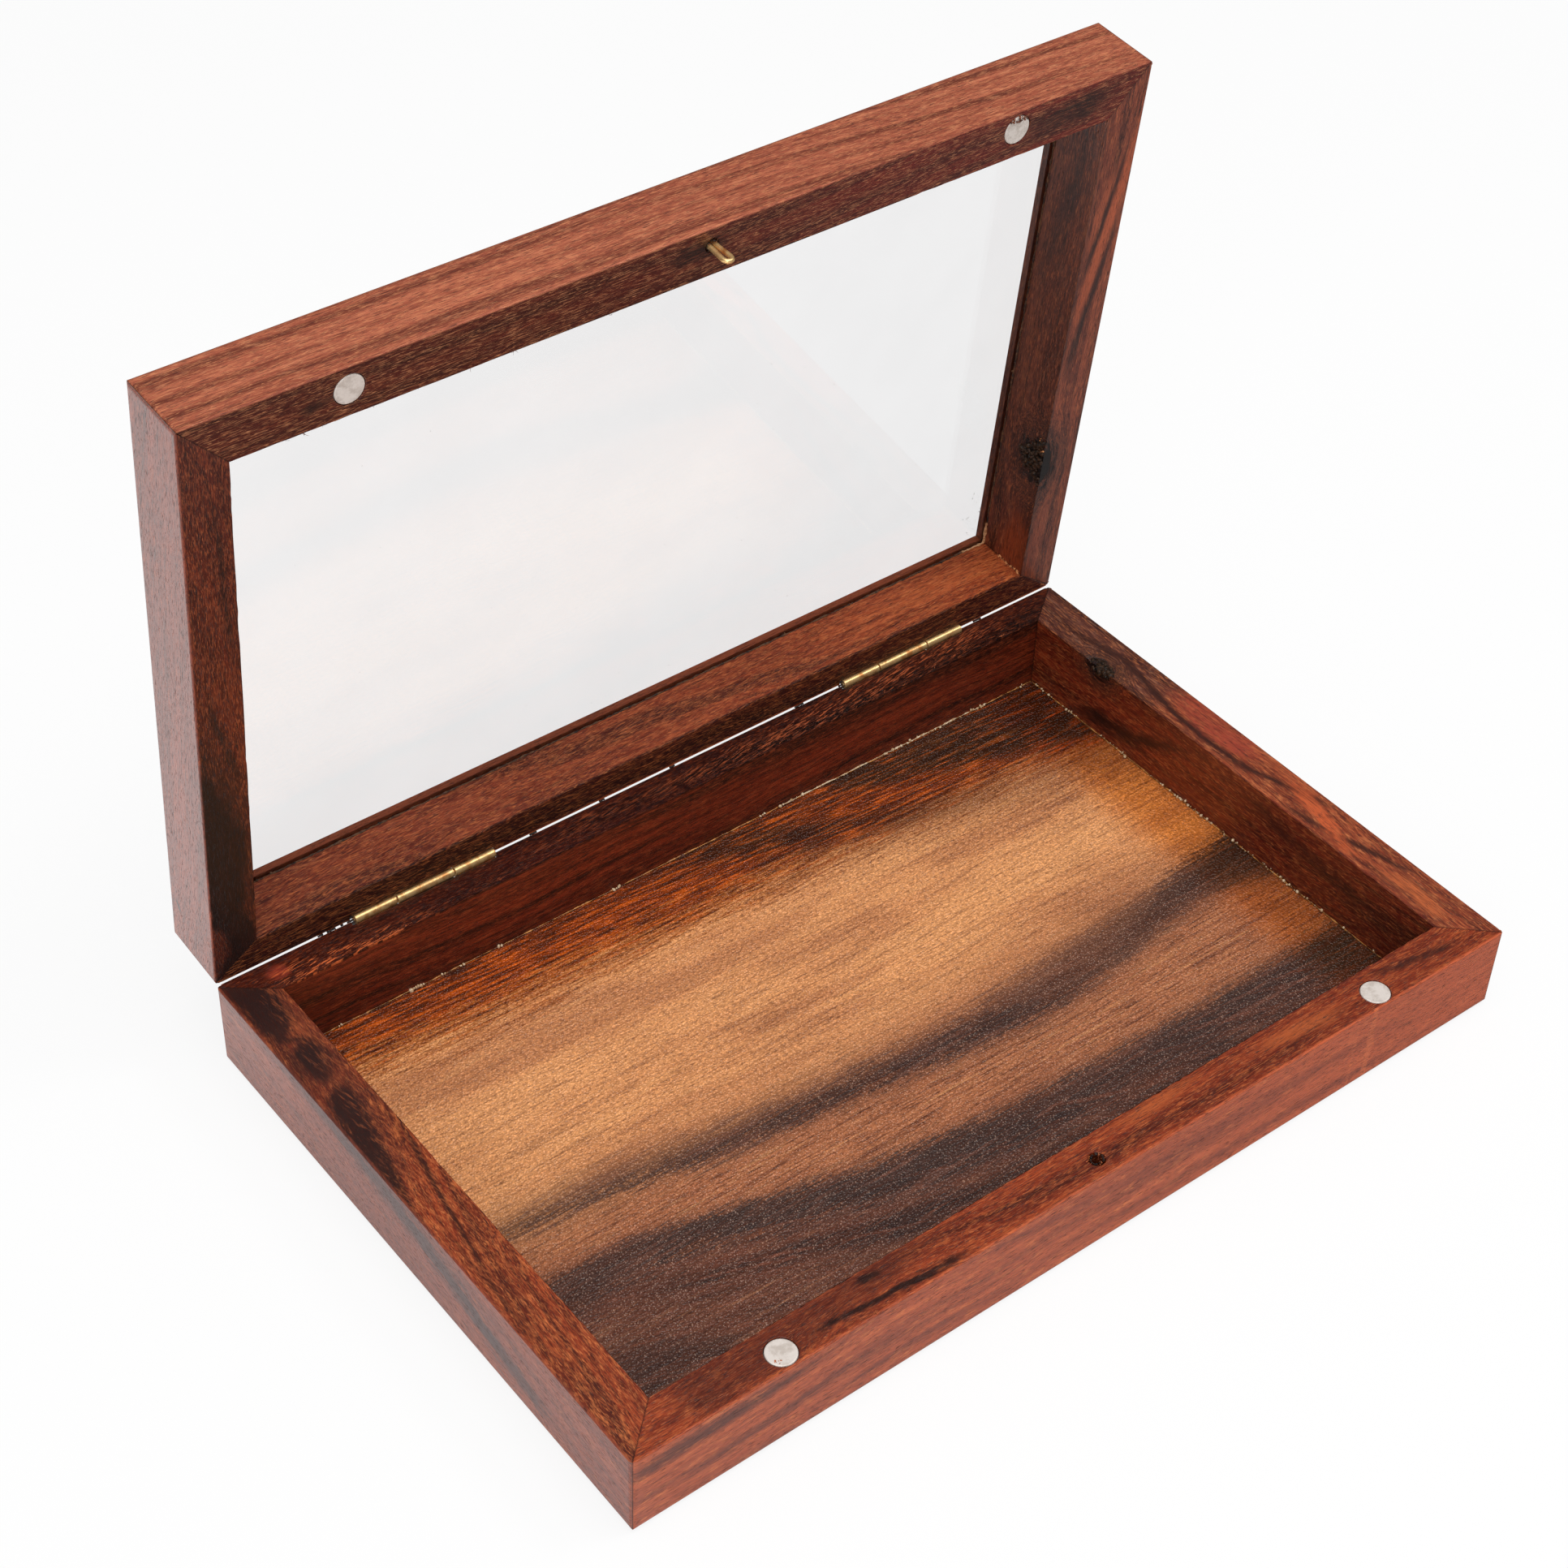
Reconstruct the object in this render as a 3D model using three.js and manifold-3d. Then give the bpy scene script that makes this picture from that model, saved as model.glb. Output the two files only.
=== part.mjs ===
// A flat wooden display box for gemstones, with a glazed lid on two small brass hinges.
// Millimetres, +Z up, +X along the length, the hinges at +Y. The origin is the centre of the underside.
// The lid is modelled open, as it stands on a table; the lid's own pieces are laid out closed, in a
// group that turns about the hinge line.
import * as THREE from 'three';
import { mergeVertices } from 'three/addons/utils/BufferGeometryUtils.js';
import Module from 'manifold-3d';

// Overall sizes of the box
const boxLength = 205;
const boxWidth = 131.2;
const baseHeight = 19.1;
const lidHeight = 15.8;
const lidOpening = 84.8; // degrees from closed

// Widths of the rails, seen from above
const baseRails = { front: 9.0, back: 7.4, end: 9.8 };
const lidRails = { front: 10.0, back: 7.05, end: 9.2 };

// Arrises and glue
const cornerRadius = 1.0; // the four upright corners
const edgeRadius = 1.6; // lower edges of the base, upper edges of the lid
const mitreSetback = 0.15; // each rail stops this short of the mitre line, for the glue
const glueLine = 0.15; // between glued faces

// Floor of the base: a board let into a rebate, and the printed sheet on it
const boardThickness = 1.95;
const sheetThickness = 0.3;
const rebateDepth = 3.0;
const boardClearance = 0.4;
const sheetClearance = 0.3;

// Glass in the lid
const glassThickness = 1.4;
const glassDepth = 12.6; // from the lid's meeting face to the glass
const grooveDepth = 3.0;
const grooveClearance = 0.25; // each side of the glass
const glassEdgeClearance = 0.4;

// Disc magnets, let in flush. Each pocket is drilled by hand, so the four places differ a little.
// rim is the wood left between the disc and the front face.
const magnetRadius = 2.9;
const magnetThickness = 3.0;
const magnetClearance = 0.15;
const magnetSink = 0.05;
const baseMagnets = [
  { side: 'left', fromEnd: 32.8, rim: 0.6 },
  { side: 'right', fromEnd: 31.6, rim: 0.6 },
];
const lidMagnets = [
  { side: 'left', fromEnd: 31.4, rim: 1.9 },
  { side: 'right', fromEnd: 32.6, rim: 1.3 },
];

// Catch: a folded wire in the lid that enters a plain hole in the base
const catchOffset = 0.9; // to the right of the middle
const catchFromFront = 3.8;
const wireRadius = 0.5;
const loopHalfWidth = 0.8; // middle of the wire
const legHalfGap = 0.62; // middle of the wire, where the legs go in
const loopReach = 5.1; // middle of the wire at its tip, below the meeting face
const legLength = 6.0; // inside the lid
const legClearance = 0.3;
const catchHoleDepth = 8.0;
const loopClearance = 0.3;

// Hinges: rolled brass, with leaves that are pushed into saw kerfs
const hingeLength = 31.6;
const leftHingeStart = 29.85; // from the left end of the box to the left hinge
const rightHingeStart = 148.1; // from the left end of the box to the right hinge
const barrelRadius = 0.95;
const leafThickness = 0.45;
const pinRadius = 0.35;
const pinClearance = 0.15;
const knuckleGap = 0.3;
const middleKnuckleShare = 0.4;
const leafReach = 6.0; // from the hinge line to the leaf's inner edge
const kerfBelowSeam = 1.8; // from the meeting face to the middle of the kerf
const kerfClearance = 0.3;
const notchClearance = 0.3; // between the barrel and the wood
const notchLeftSlack = 0.9; // the notch is cut this much longer than the barrel at its left end
const hingeLineOut = 0.25; // from the back face to the hinge line
const seamGap = 0.3; // between the meeting faces when the lid is shut

// Derived places
const wasm = await Module();
wasm.setup();
const leftSide = -boxLength / 2;
const rightSide = boxLength / 2;
const frontSide = -boxWidth / 2;
const backSide = boxWidth / 2;
const hingeY = backSide + hingeLineOut;
const hingeZ = baseHeight + seamGap / 2;
const overrun = 1; // how far a cutter runs past the wood

// Solids from three's shapes, for cutting and joining
function solidOf(geometry) {
  const bare = geometry.clone();
  bare.deleteAttribute('normal');
  bare.deleteAttribute('uv');
  const merged = mergeVertices(bare, 1e-4);
  return new wasm.Manifold(new wasm.Mesh({
    numProp: 3,
    vertProperties: new Float32Array(merged.attributes.position.array),
    triVerts: new Uint32Array(merged.index.array),
  }));
}

function geometryOf(solid) {
  const mesh = solid.getMesh();
  const geometry = new THREE.BufferGeometry();
  geometry.setAttribute('position', new THREE.BufferAttribute(mesh.vertProperties, 3));
  geometry.setIndex(new THREE.BufferAttribute(mesh.triVerts, 1));
  geometry.computeVertexNormals();
  return geometry;
}

function block(x, y, z) {
  const geometry = new THREE.BoxGeometry(x[1] - x[0], y[1] - y[0], z[1] - z[0]);
  geometry.translate((x[0] + x[1]) / 2, (y[0] + y[1]) / 2, (z[0] + z[1]) / 2);
  return solidOf(geometry);
}

function uprightCylinder(x, y, radius, z, sides = 32) {
  const geometry = new THREE.CylinderGeometry(radius, radius, z[1] - z[0], sides);
  geometry.rotateX(Math.PI / 2);
  geometry.translate(x, y, (z[0] + z[1]) / 2);
  return solidOf(geometry);
}

// A bar along X whose section is given in Y and Z
function barAlongX(section, x) {
  const geometry = new THREE.ExtrudeGeometry(section, {
    depth: x[1] - x[0],
    bevelEnabled: false,
    curveSegments: 6,
  });
  // The section's first axis goes to Y, its second to Z, and the length to X.
  geometry.applyMatrix4(new THREE.Matrix4().makeBasis(
    new THREE.Vector3(0, 1, 0),
    new THREE.Vector3(0, 0, 1),
    new THREE.Vector3(1, 0, 0),
  ));
  geometry.translate(x[0], 0, 0);
  return solidOf(geometry);
}

function polygon(points) {
  return new THREE.Shape(points.map(([x, y]) => new THREE.Vector2(x, y)));
}

// One mitred rail, lying along X with its outer face at y = 0 and its inner face at y = width.
// near and far are the widths of the rails that it meets at its two ends.
function straightRail({ run, width, near, far, height, roundedEdge }) {
  const section = new THREE.Shape();
  if (roundedEdge === 'lower') {
    section.moveTo(edgeRadius, 0);
    section.lineTo(width, 0);
    section.lineTo(width, height);
    section.lineTo(0, height);
    section.lineTo(0, edgeRadius);
    section.absarc(edgeRadius, edgeRadius, edgeRadius, Math.PI, Math.PI * 1.5, false);
  } else {
    section.moveTo(0, 0);
    section.lineTo(width, 0);
    section.lineTo(width, height);
    section.lineTo(edgeRadius, height);
    section.absarc(edgeRadius, height - edgeRadius, edgeRadius, Math.PI / 2, Math.PI, false);
    section.lineTo(0, 0);
  }
  const bar = barAlongX(section, [-run / 2, run / 2]);
  const plan = polygon([
    [-run / 2 + mitreSetback, 0],
    [run / 2 - mitreSetback, 0],
    [run / 2 - far - mitreSetback, width],
    [-run / 2 + near + mitreSetback, width],
  ]);
  const wedge = new THREE.ExtrudeGeometry(plan, { depth: height, bevelEnabled: false });
  return bar.intersect(solidOf(wedge));
}

// The four rails of a frame, by side, with the box's upright corners rounded
function railFrame(rails, height, roundedEdge) {
  const outline = new THREE.Shape();
  const r = cornerRadius;
  outline.moveTo(leftSide + r, frontSide);
  outline.lineTo(rightSide - r, frontSide);
  outline.absarc(rightSide - r, frontSide + r, r, -Math.PI / 2, 0, false);
  outline.lineTo(rightSide, backSide - r);
  outline.absarc(rightSide - r, backSide - r, r, 0, Math.PI / 2, false);
  outline.lineTo(leftSide + r, backSide);
  outline.absarc(leftSide + r, backSide - r, r, Math.PI / 2, Math.PI, false);
  outline.lineTo(leftSide, frontSide + r);
  outline.absarc(leftSide + r, frontSide + r, r, Math.PI, Math.PI * 1.5, false);
  const rounded = solidOf(new THREE.ExtrudeGeometry(outline, {
    depth: height + 2 * overrun,
    bevelEnabled: false,
    curveSegments: 5,
  })).translate([0, 0, -overrun]);

  const sides = {
    front: { run: boxLength, width: rails.front, near: rails.end, far: rails.end, turn: 0 },
    right: { run: boxWidth, width: rails.end, near: rails.front, far: rails.back, turn: 90 },
    back: { run: boxLength, width: rails.back, near: rails.end, far: rails.end, turn: 180 },
    left: { run: boxWidth, width: rails.end, near: rails.back, far: rails.front, turn: 270 },
  };
  const frame = {};
  for (const [side, { run, width, near, far, turn }] of Object.entries(sides)) {
    const halfDepth = turn % 180 === 0 ? boxWidth / 2 : boxLength / 2;
    frame[side] = straightRail({ run, width, near, far, height, roundedEdge })
      .translate([0, -halfDepth, 0])
      .rotate([0, 0, turn])
      .intersect(rounded);
  }
  return frame;
}

// The rectangle inside a frame of rails, grown by a margin on every side
function insideOf(rails, margin) {
  return {
    x: [leftSide + rails.end - margin, rightSide - rails.end + margin],
    y: [frontSide + rails.front - margin, backSide - rails.back + margin],
  };
}

function plateIn(rails, margin, z) {
  const { x, y } = insideOf(rails, margin);
  return block(x, y, z);
}

function magnetX({ side, fromEnd }) {
  return side === 'left' ? leftSide + fromEnd : rightSide - fromEnd;
}

function magnetY({ rim }) {
  return frontSide + rim + magnetRadius;
}

const hingeStarts = {
  left: leftSide + leftHingeStart,
  right: leftSide + rightHingeStart,
};

// Hinge cuts in a back rail: a notch for the barrel and a saw kerf for the leaf.
// up is 1 for the lid, whose wood is above the seam, and -1 for the base.
function hingeCuts(start, up) {
  const kerfHalf = leafThickness / 2 + kerfClearance;
  const meetingFace = hingeZ + up * seamGap / 2;
  const kerfMiddle = meetingFace + up * kerfBelowSeam;
  const notchZ = [meetingFace - up * seamGap / 4, kerfMiddle + up * kerfHalf].sort((a, b) => a - b);
  const notchX = [start - notchLeftSlack, start + hingeLength + notchClearance];
  const notchFront = hingeY - barrelRadius - notchClearance;
  const notch = block(notchX, [notchFront, hingeY + overrun], notchZ);
  const kerf = block(
    [start - notchClearance, start + hingeLength + notchClearance],
    [hingeY - leafReach - kerfClearance, notchFront + overrun / 2],
    [kerfMiddle - kerfHalf, kerfMiddle + kerfHalf],
  );
  return notch.add(kerf);
}

// Base: rails, floor board, printed sheet and magnets
const baseFrame = railFrame(baseRails, baseHeight, 'lower');
const boardTop = boardThickness;
const sheetLow = boardTop + glueLine;
const rebate = plateIn(baseRails, rebateDepth, [-overrun, sheetLow]);
for (const side of Object.keys(baseFrame)) {
  baseFrame[side] = baseFrame[side].subtract(rebate);
}
const catchX = catchOffset;
const catchY = frontSide + catchFromFront;
const catchHoleRadius = loopHalfWidth + wireRadius + loopClearance;
baseFrame.front = baseFrame.front.subtract(
  uprightCylinder(catchX, catchY, catchHoleRadius, [baseHeight - catchHoleDepth, baseHeight + overrun]),
);
for (const place of baseMagnets) {
  baseFrame.front = baseFrame.front.subtract(uprightCylinder(
    magnetX(place),
    magnetY(place),
    magnetRadius + magnetClearance,
    [baseHeight - magnetSink - magnetThickness - glueLine, baseHeight + overrun],
  ));
}
for (const start of Object.values(hingeStarts)) {
  baseFrame.back = baseFrame.back.subtract(hingeCuts(start, -1));
}
const floorBoard = plateIn(baseRails, rebateDepth - boardClearance, [0, boardTop]);
const floorSheet = plateIn(baseRails, -sheetClearance, [sheetLow, sheetLow + sheetThickness]);

// Lid, laid out shut: its meeting face is at lidLow
const lidLow = baseHeight + seamGap;
const lidFrame = railFrame(lidRails, lidHeight, 'upper');
const grooveLow = glassDepth - grooveClearance;
const grooveHigh = glassDepth + glassThickness + grooveClearance;
const groove = plateIn(lidRails, grooveDepth, [grooveLow, grooveHigh]);
for (const side of Object.keys(lidFrame)) {
  lidFrame[side] = lidFrame[side].subtract(groove).translate([0, 0, lidLow]);
}
const legHoleRadius = legHalfGap + wireRadius + legClearance;
lidFrame.front = lidFrame.front.subtract(
  uprightCylinder(catchX, catchY, legHoleRadius, [lidLow - overrun, lidLow + legLength + legClearance]),
);
for (const place of lidMagnets) {
  lidFrame.front = lidFrame.front.subtract(uprightCylinder(
    magnetX(place),
    magnetY(place),
    magnetRadius + magnetClearance,
    [lidLow - overrun, lidLow + magnetSink + magnetThickness + glueLine],
  ));
}
for (const start of Object.values(hingeStarts)) {
  lidFrame.back = lidFrame.back.subtract(hingeCuts(start, 1));
}
const glassPane = plateIn(
  lidRails,
  grooveDepth - glassEdgeClearance,
  [lidLow + glassDepth, lidLow + glassDepth + glassThickness],
);

// The folded wire: up one leg, round the tip and back up the other
function catchLoop() {
  const half = [
    [legHalfGap, legLength],
    [legHalfGap, 0.3 * legLength],
    [legHalfGap * 1.05, -0.2 * loopReach],
    [loopHalfWidth * 0.92, -0.5 * loopReach],
    [loopHalfWidth, -loopReach + loopHalfWidth * 1.2],
    [loopHalfWidth * 0.72, -loopReach + loopHalfWidth * 0.32],
  ];
  const points = [
    ...half.map(([x, z]) => new THREE.Vector3(-x, 0, z)),
    new THREE.Vector3(0, 0, -loopReach),
    ...half.reverse().map(([x, z]) => new THREE.Vector3(x, 0, z)),
  ];
  const wire = new THREE.Shape();
  wire.absarc(0, 0, wireRadius, 0, Math.PI * 2, false);
  const geometry = new THREE.ExtrudeGeometry(wire, {
    steps: 44,
    curveSegments: 10,
    extrudePath: new THREE.CatmullRomCurve3(points),
  });
  return solidOf(geometry).translate([catchX, catchY, lidLow]);
}

// Hinge pieces. Sections are in Y and Z from the hinge line.
function tubeAlongX(outer, inner, x) {
  const section = new THREE.Shape();
  section.absarc(0, 0, outer, 0, Math.PI * 2, false);
  if (inner > 0) {
    const hole = new THREE.Path();
    hole.absarc(0, 0, inner, 0, Math.PI * 2, true);
    section.holes.push(hole);
  }
  return barAlongX(section, x).translate([0, hingeY, hingeZ]);
}

function knuckleSpans(start) {
  const middle = hingeLength * middleKnuckleShare;
  const outer = (hingeLength - middle - 2 * knuckleGap) / 2;
  const first = [start, start + outer];
  const second = [first[1] + knuckleGap, first[1] + knuckleGap + middle];
  const third = [second[1] + knuckleGap, start + hingeLength];
  return [first, second, third];
}

// A leaf: a plate in the kerf, and at each of its knuckles a cranked web and a rolled tube
function hingeLeaf(start, up, spans) {
  const half = leafThickness / 2;
  const level = up * (seamGap / 2 + kerfBelowSeam);
  const mouth = -barrelRadius - notchClearance;
  const plate = block(
    [start, start + hingeLength],
    [hingeY - leafReach, hingeY + mouth - kerfClearance],
    [hingeZ + level - half, hingeZ + level + half],
  );
  const wallMiddle = (barrelRadius + pinRadius + pinClearance) / 2;
  const web = polygon([
    [mouth - 2 * kerfClearance, level - up * half],
    [mouth - 2 * kerfClearance, level + up * half],
    [-0.85 * barrelRadius, level + up * half],
    [0.25 * wallMiddle, up * 0.97 * wallMiddle],
    [-0.6 * wallMiddle, up * 0.8 * wallMiddle],
    [-barrelRadius, level - up * half],
  ]);
  let leaf = plate;
  for (const span of spans) {
    leaf = leaf.add(barAlongX(web, span).translate([0, hingeY, hingeZ]));
    leaf = leaf.add(tubeAlongX(barrelRadius, pinRadius + pinClearance, span));
  }
  return leaf;
}

// Colours and finishes
const materials = {
  rosewood: { color: 0x7a3b24, roughness: 0.45, metalness: 0 },
  rosewoodDark: { color: 0x5a2a1c, roughness: 0.5, metalness: 0 },
  board: { color: 0x8a6a48, roughness: 0.85, metalness: 0 },
  sheet: { color: 0xa0642f, roughness: 0.4, metalness: 0 },
  steel: { color: 0xc9c3ba, roughness: 0.35, metalness: 1 },
  brass: { color: 0xc9a24a, roughness: 0.3, metalness: 1 },
  glass: { color: 0xe8ecee, roughness: 0.05, metalness: 0, transparent: true, opacity: 0.35 },
};

function piece(name, solid, material) {
  const mesh = new THREE.Mesh(geometryOf(solid), new THREE.MeshStandardMaterial(materials[material]));
  mesh.name = name;
  return mesh;
}

const box = new THREE.Group();
const lid = new THREE.Group();

for (const side of ['front', 'back', 'left', 'right']) {
  box.add(piece(`base_${side}_rail`, baseFrame[side], 'rosewood'));
}
box.add(piece('floor_board', floorBoard, 'board'));
box.add(piece('floor_sheet', floorSheet, 'sheet'));
for (const place of baseMagnets) {
  const top = baseHeight - magnetSink;
  const disc = uprightCylinder(
    magnetX(place),
    magnetY(place),
    magnetRadius,
    [top - magnetThickness, top],
  );
  box.add(piece(`base_magnet_${place.side}`, disc, 'steel'));
}

// The lid's pieces sit in the turned group, measured from the hinge line.
function lidPiece(name, solid, material) {
  return piece(name, solid.translate([0, -hingeY, -hingeZ]), material);
}

for (const side of ['front', 'back', 'left', 'right']) {
  lid.add(lidPiece(`lid_${side}_rail`, lidFrame[side], 'rosewoodDark'));
}
lid.add(lidPiece('glass_pane', glassPane, 'glass'));
for (const place of lidMagnets) {
  const low = lidLow + magnetSink;
  const disc = uprightCylinder(
    magnetX(place),
    magnetY(place),
    magnetRadius,
    [low, low + magnetThickness],
  );
  lid.add(lidPiece(`lid_magnet_${place.side}`, disc, 'steel'));
}
lid.add(lidPiece('catch_loop', catchLoop(), 'brass'));

for (const [side, start] of Object.entries(hingeStarts)) {
  const [first, second, third] = knuckleSpans(start);
  box.add(piece(`${side}_hinge_base_leaf`, hingeLeaf(start, -1, [first, third]), 'brass'));
  lid.add(lidPiece(`${side}_hinge_lid_leaf`, hingeLeaf(start, 1, [second]), 'brass'));
  const pin = tubeAlongX(pinRadius, 0, [start, start + hingeLength]);
  box.add(piece(`${side}_hinge_pin`, pin, 'brass'));
}

lid.position.set(0, hingeY, hingeZ);
lid.rotation.x = -THREE.MathUtils.degToRad(lidOpening);
box.add(lid);

export default box;
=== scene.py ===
# %% [markdown]
# A small hardwood box for gemstones, with a glazed lid that stands open.
# The model of its solids comes packed from the CAD. Here it gets its looks: figured wood, a printed
# floor sheet, glass, brass and magnets, and the small traces of handwork that a plain solid lacks.
# Loading the frame comes first. Its box is kept.

# %% Load the imported model
import math
import random

import bmesh
import bpy
from mathutils import Matrix, Vector


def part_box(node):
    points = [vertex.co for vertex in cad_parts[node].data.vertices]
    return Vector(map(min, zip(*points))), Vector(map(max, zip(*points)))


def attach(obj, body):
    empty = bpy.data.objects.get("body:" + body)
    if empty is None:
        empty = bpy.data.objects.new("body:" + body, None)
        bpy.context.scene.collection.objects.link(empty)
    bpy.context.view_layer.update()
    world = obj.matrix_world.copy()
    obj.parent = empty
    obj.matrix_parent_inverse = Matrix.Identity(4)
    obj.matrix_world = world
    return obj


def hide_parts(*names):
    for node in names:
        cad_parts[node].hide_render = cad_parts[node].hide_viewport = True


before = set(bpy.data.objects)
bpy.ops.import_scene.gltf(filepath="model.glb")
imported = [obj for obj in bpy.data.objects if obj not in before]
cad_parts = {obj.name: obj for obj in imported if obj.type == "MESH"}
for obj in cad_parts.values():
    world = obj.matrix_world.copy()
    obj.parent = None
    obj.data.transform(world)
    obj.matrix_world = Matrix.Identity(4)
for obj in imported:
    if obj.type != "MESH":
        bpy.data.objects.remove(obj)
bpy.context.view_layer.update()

# %% [markdown]
# The box is easiest to describe in its own millimetres: u from the left end, v from the front face,
# and h upwards. In the base, h starts at the underside. In the lid it starts at the meeting face, with
# the lid thought of as shut, so one set of numbers fits both halves. Each half has a matrix that leads
# from these numbers to the frame's metres.

# %% Sizes and places
LENGTH, WIDTH = 205.0, 131.2
OPENING = math.radians(84.8)
HINGE = Vector((0, 65.85, 19.25))
HALVES = {
    "base": {"front": 9.0, "back": 7.4, "end": 9.8, "height": 19.1},
    "lid": {"front": 10.0, "back": 7.05, "end": 9.2, "height": 15.8},
}
to_origin = Matrix.Translation((-LENGTH / 2, -WIDTH / 2, 0))
lid_shut = Matrix.Translation((0, 0, 19.4)) @ to_origin
swing = Matrix.Translation(HINGE) @ Matrix.Rotation(-OPENING, 4, "X") @ Matrix.Translation(-HINGE)
PLACE = {
    "base": Matrix.Scale(0.001, 4) @ to_origin,
    "lid": Matrix.Scale(0.001, 4) @ swing @ lid_shut,
}
for half, matrix in PLACE.items():
    print(half, "corner at", [round(c, 4) for c in matrix @ Vector((0, 0, 0))])

# %% [markdown]
# The camera's place, tilt and lens were solved from the corners of the box in the photograph. Its three
# axes go in as the columns of a matrix. No shift is needed.

# %% Camera
CAMERA_AXES = Matrix((
    (0.78977, 0.39092, -0.47270),
    (-0.61263, 0.54131, -0.57590),
    (0.03074, 0.74442, 0.66701),
))
CAMERA_PLACE = (-0.27013, -0.30093, 0.42400)
LENS, FILM_WIDTH = 69.855, 36


def in_scene(name, data):
    """A new object at the origin, put into the scene."""
    made = bpy.data.objects.new(name, data)
    bpy.context.scene.collection.objects.link(made)
    return made


camera = in_scene("camera", bpy.data.cameras.new("camera"))
camera.matrix_world = Matrix.Translation(CAMERA_PLACE) @ CAMERA_AXES.to_4x4()
camera.data.lens = LENS
camera.data.sensor_width = FILM_WIDTH
camera.data.clip_start, camera.data.clip_end = 0.01, 20
bpy.context.scene.camera = camera
bpy.context.scene.view_settings.view_transform = "Standard"
print("lens", round(camera.data.lens, 2), "mm")

# %% [markdown]
# Shader maths reads best as plain expressions. A small class wraps a socket, and each operator adds a
# Math node. Another class holds one material's node tree, and has one method for every other node.

# %% Shader maths as expressions
class Number:
    """A socket that carries a number. Python's operators on it add Math nodes."""

    def __init__(self, shader, socket):
        self.shader = shader
        self.socket = socket

    def math(self, operation, *others, swap=False):
        values = [self, *others]
        if swap:
            values.reverse()
        return self.shader.node("Math", {"operation": operation}, dict(enumerate(values)))

    def __add__(self, other):
        return self.math("ADD", other)

    def __sub__(self, other):
        return self.math("SUBTRACT", other)

    def __rsub__(self, other):
        return self.math("SUBTRACT", other, swap=True)

    def __mul__(self, other):
        return self.math("MULTIPLY", other)

    def __truediv__(self, other):
        return self.math("DIVIDE", other)

    def __rtruediv__(self, other):
        return self.math("DIVIDE", other, swap=True)

    def __pow__(self, other):
        return self.math("POWER", other)

    def __abs__(self):
        return self.math("ABSOLUTE")

    __radd__ = __add__
    __rmul__ = __mul__

    def least(self, other):
        return self.math("MINIMUM", other)

    def most(self, other):
        return self.math("MAXIMUM", other)

    def smooth(self, low, high, bottom=0.0, top=1.0):
        """Rises smoothly from bottom to top as the number goes from low to high."""
        inputs = {0: self, 1: low, 2: high, 3: bottom, 4: top}
        if low > high:
            inputs.update({1: high, 2: low, 3: top, 4: bottom})
        return self.shader.node("MapRange", {"interpolation_type": "SMOOTHSTEP"}, inputs)


class Shader:
    """One material's or the world's node tree."""

    def __init__(self, owner):
        owner.use_nodes = True
        self.owner = owner
        self.tree = owner.node_tree
        self.tree.nodes.clear()

    def node(self, kind, settings=None, inputs=None, output=0):
        known = kind.startswith(("GeometryNode", "FunctionNode"))
        made = self.tree.nodes.new(kind if known else "ShaderNode" + kind)
        for key, value in (settings or {}).items():
            if key == "stops":
                ramp = made.color_ramp
                while len(ramp.elements) < len(value):
                    ramp.elements.new(0.5)
                for element, (place, colour) in zip(ramp.elements, value):
                    element.position = place
                    element.color = (*colour, 1)
            else:
                setattr(made, key, value)
        for key, value in (inputs or {}).items():
            if isinstance(value, Number):
                self.tree.links.new(value.socket, made.inputs[key])
            else:
                made.inputs[key].default_value = value
        return Number(self, made.outputs[output])

    def vector(self, x, y, z):
        return self.node("CombineXYZ", None, {0: x, 1: y, 2: z})

    def parts(self, vector):
        split = self.node("SeparateXYZ", None, {0: vector}).socket.node
        return [Number(self, out) for out in split.outputs]

    def noise(self, vector, detail=2.0, roughness=0.5, colour=False):
        inputs = {"Vector": vector, "Scale": 1.0, "Detail": detail, "Roughness": roughness}
        return self.node("TexNoise", None, inputs, 1 if colour else 0)

    def grain(self, x, y, z, detail=2.0, roughness=0.5):
        """Noise at a point that is given by its three coordinates."""
        return self.noise(self.vector(x, y, z), detail, roughness)

    def object_place(self):
        return self.node("TexCoord", output=3)

    def bump(self, height, strength, distance):
        return self.node("Bump", None, {"Strength": strength, "Distance": distance, "Height": height})

    def mix(self, factor, a, b, blend="MIX"):
        a, b = ((*c, 1) if isinstance(c, tuple) else c for c in (a, b))
        settings = {"data_type": "RGBA", "blend_type": blend}
        return self.node("Mix", settings, {0: factor, 6: a, 7: b}, 2)

    def layers(self, colour, *coats, blend="MIX"):
        """Lays coats over a colour, one after the other. A coat is a mask and its own colour."""
        for mask, shade in coats:
            colour = self.mix(mask, colour, shade, blend)
        return colour

    def surface(self, shader, kind="OutputMaterial"):
        output = self.tree.nodes.new("ShaderNode" + kind)
        self.tree.links.new(shader.socket, output.inputs["Surface"])
        return self.owner

    def finish(self, colour, rough, **others):
        """Ends the tree in one Principled surface. Another input is named with _ for each space."""
        inputs = {"Base Color": colour, "Roughness": rough}
        inputs.update({key.replace("_", " "): value for key, value in others.items()})
        return self.surface(self.node("BsdfPrincipled", None, inputs))


def rgb(red, green, blue):
    """A colour as seen on a screen, 0 to 255, as the linear numbers that shaders use."""
    def straight(c):
        c /= 255
        return c / 12.92 if c <= 0.04045 else ((c + 0.055) / 1.055) ** 2.4
    return tuple(straight(c) for c in (red, green, blue))


def new_shader(name):
    return Shader(bpy.data.materials.new(name))
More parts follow.
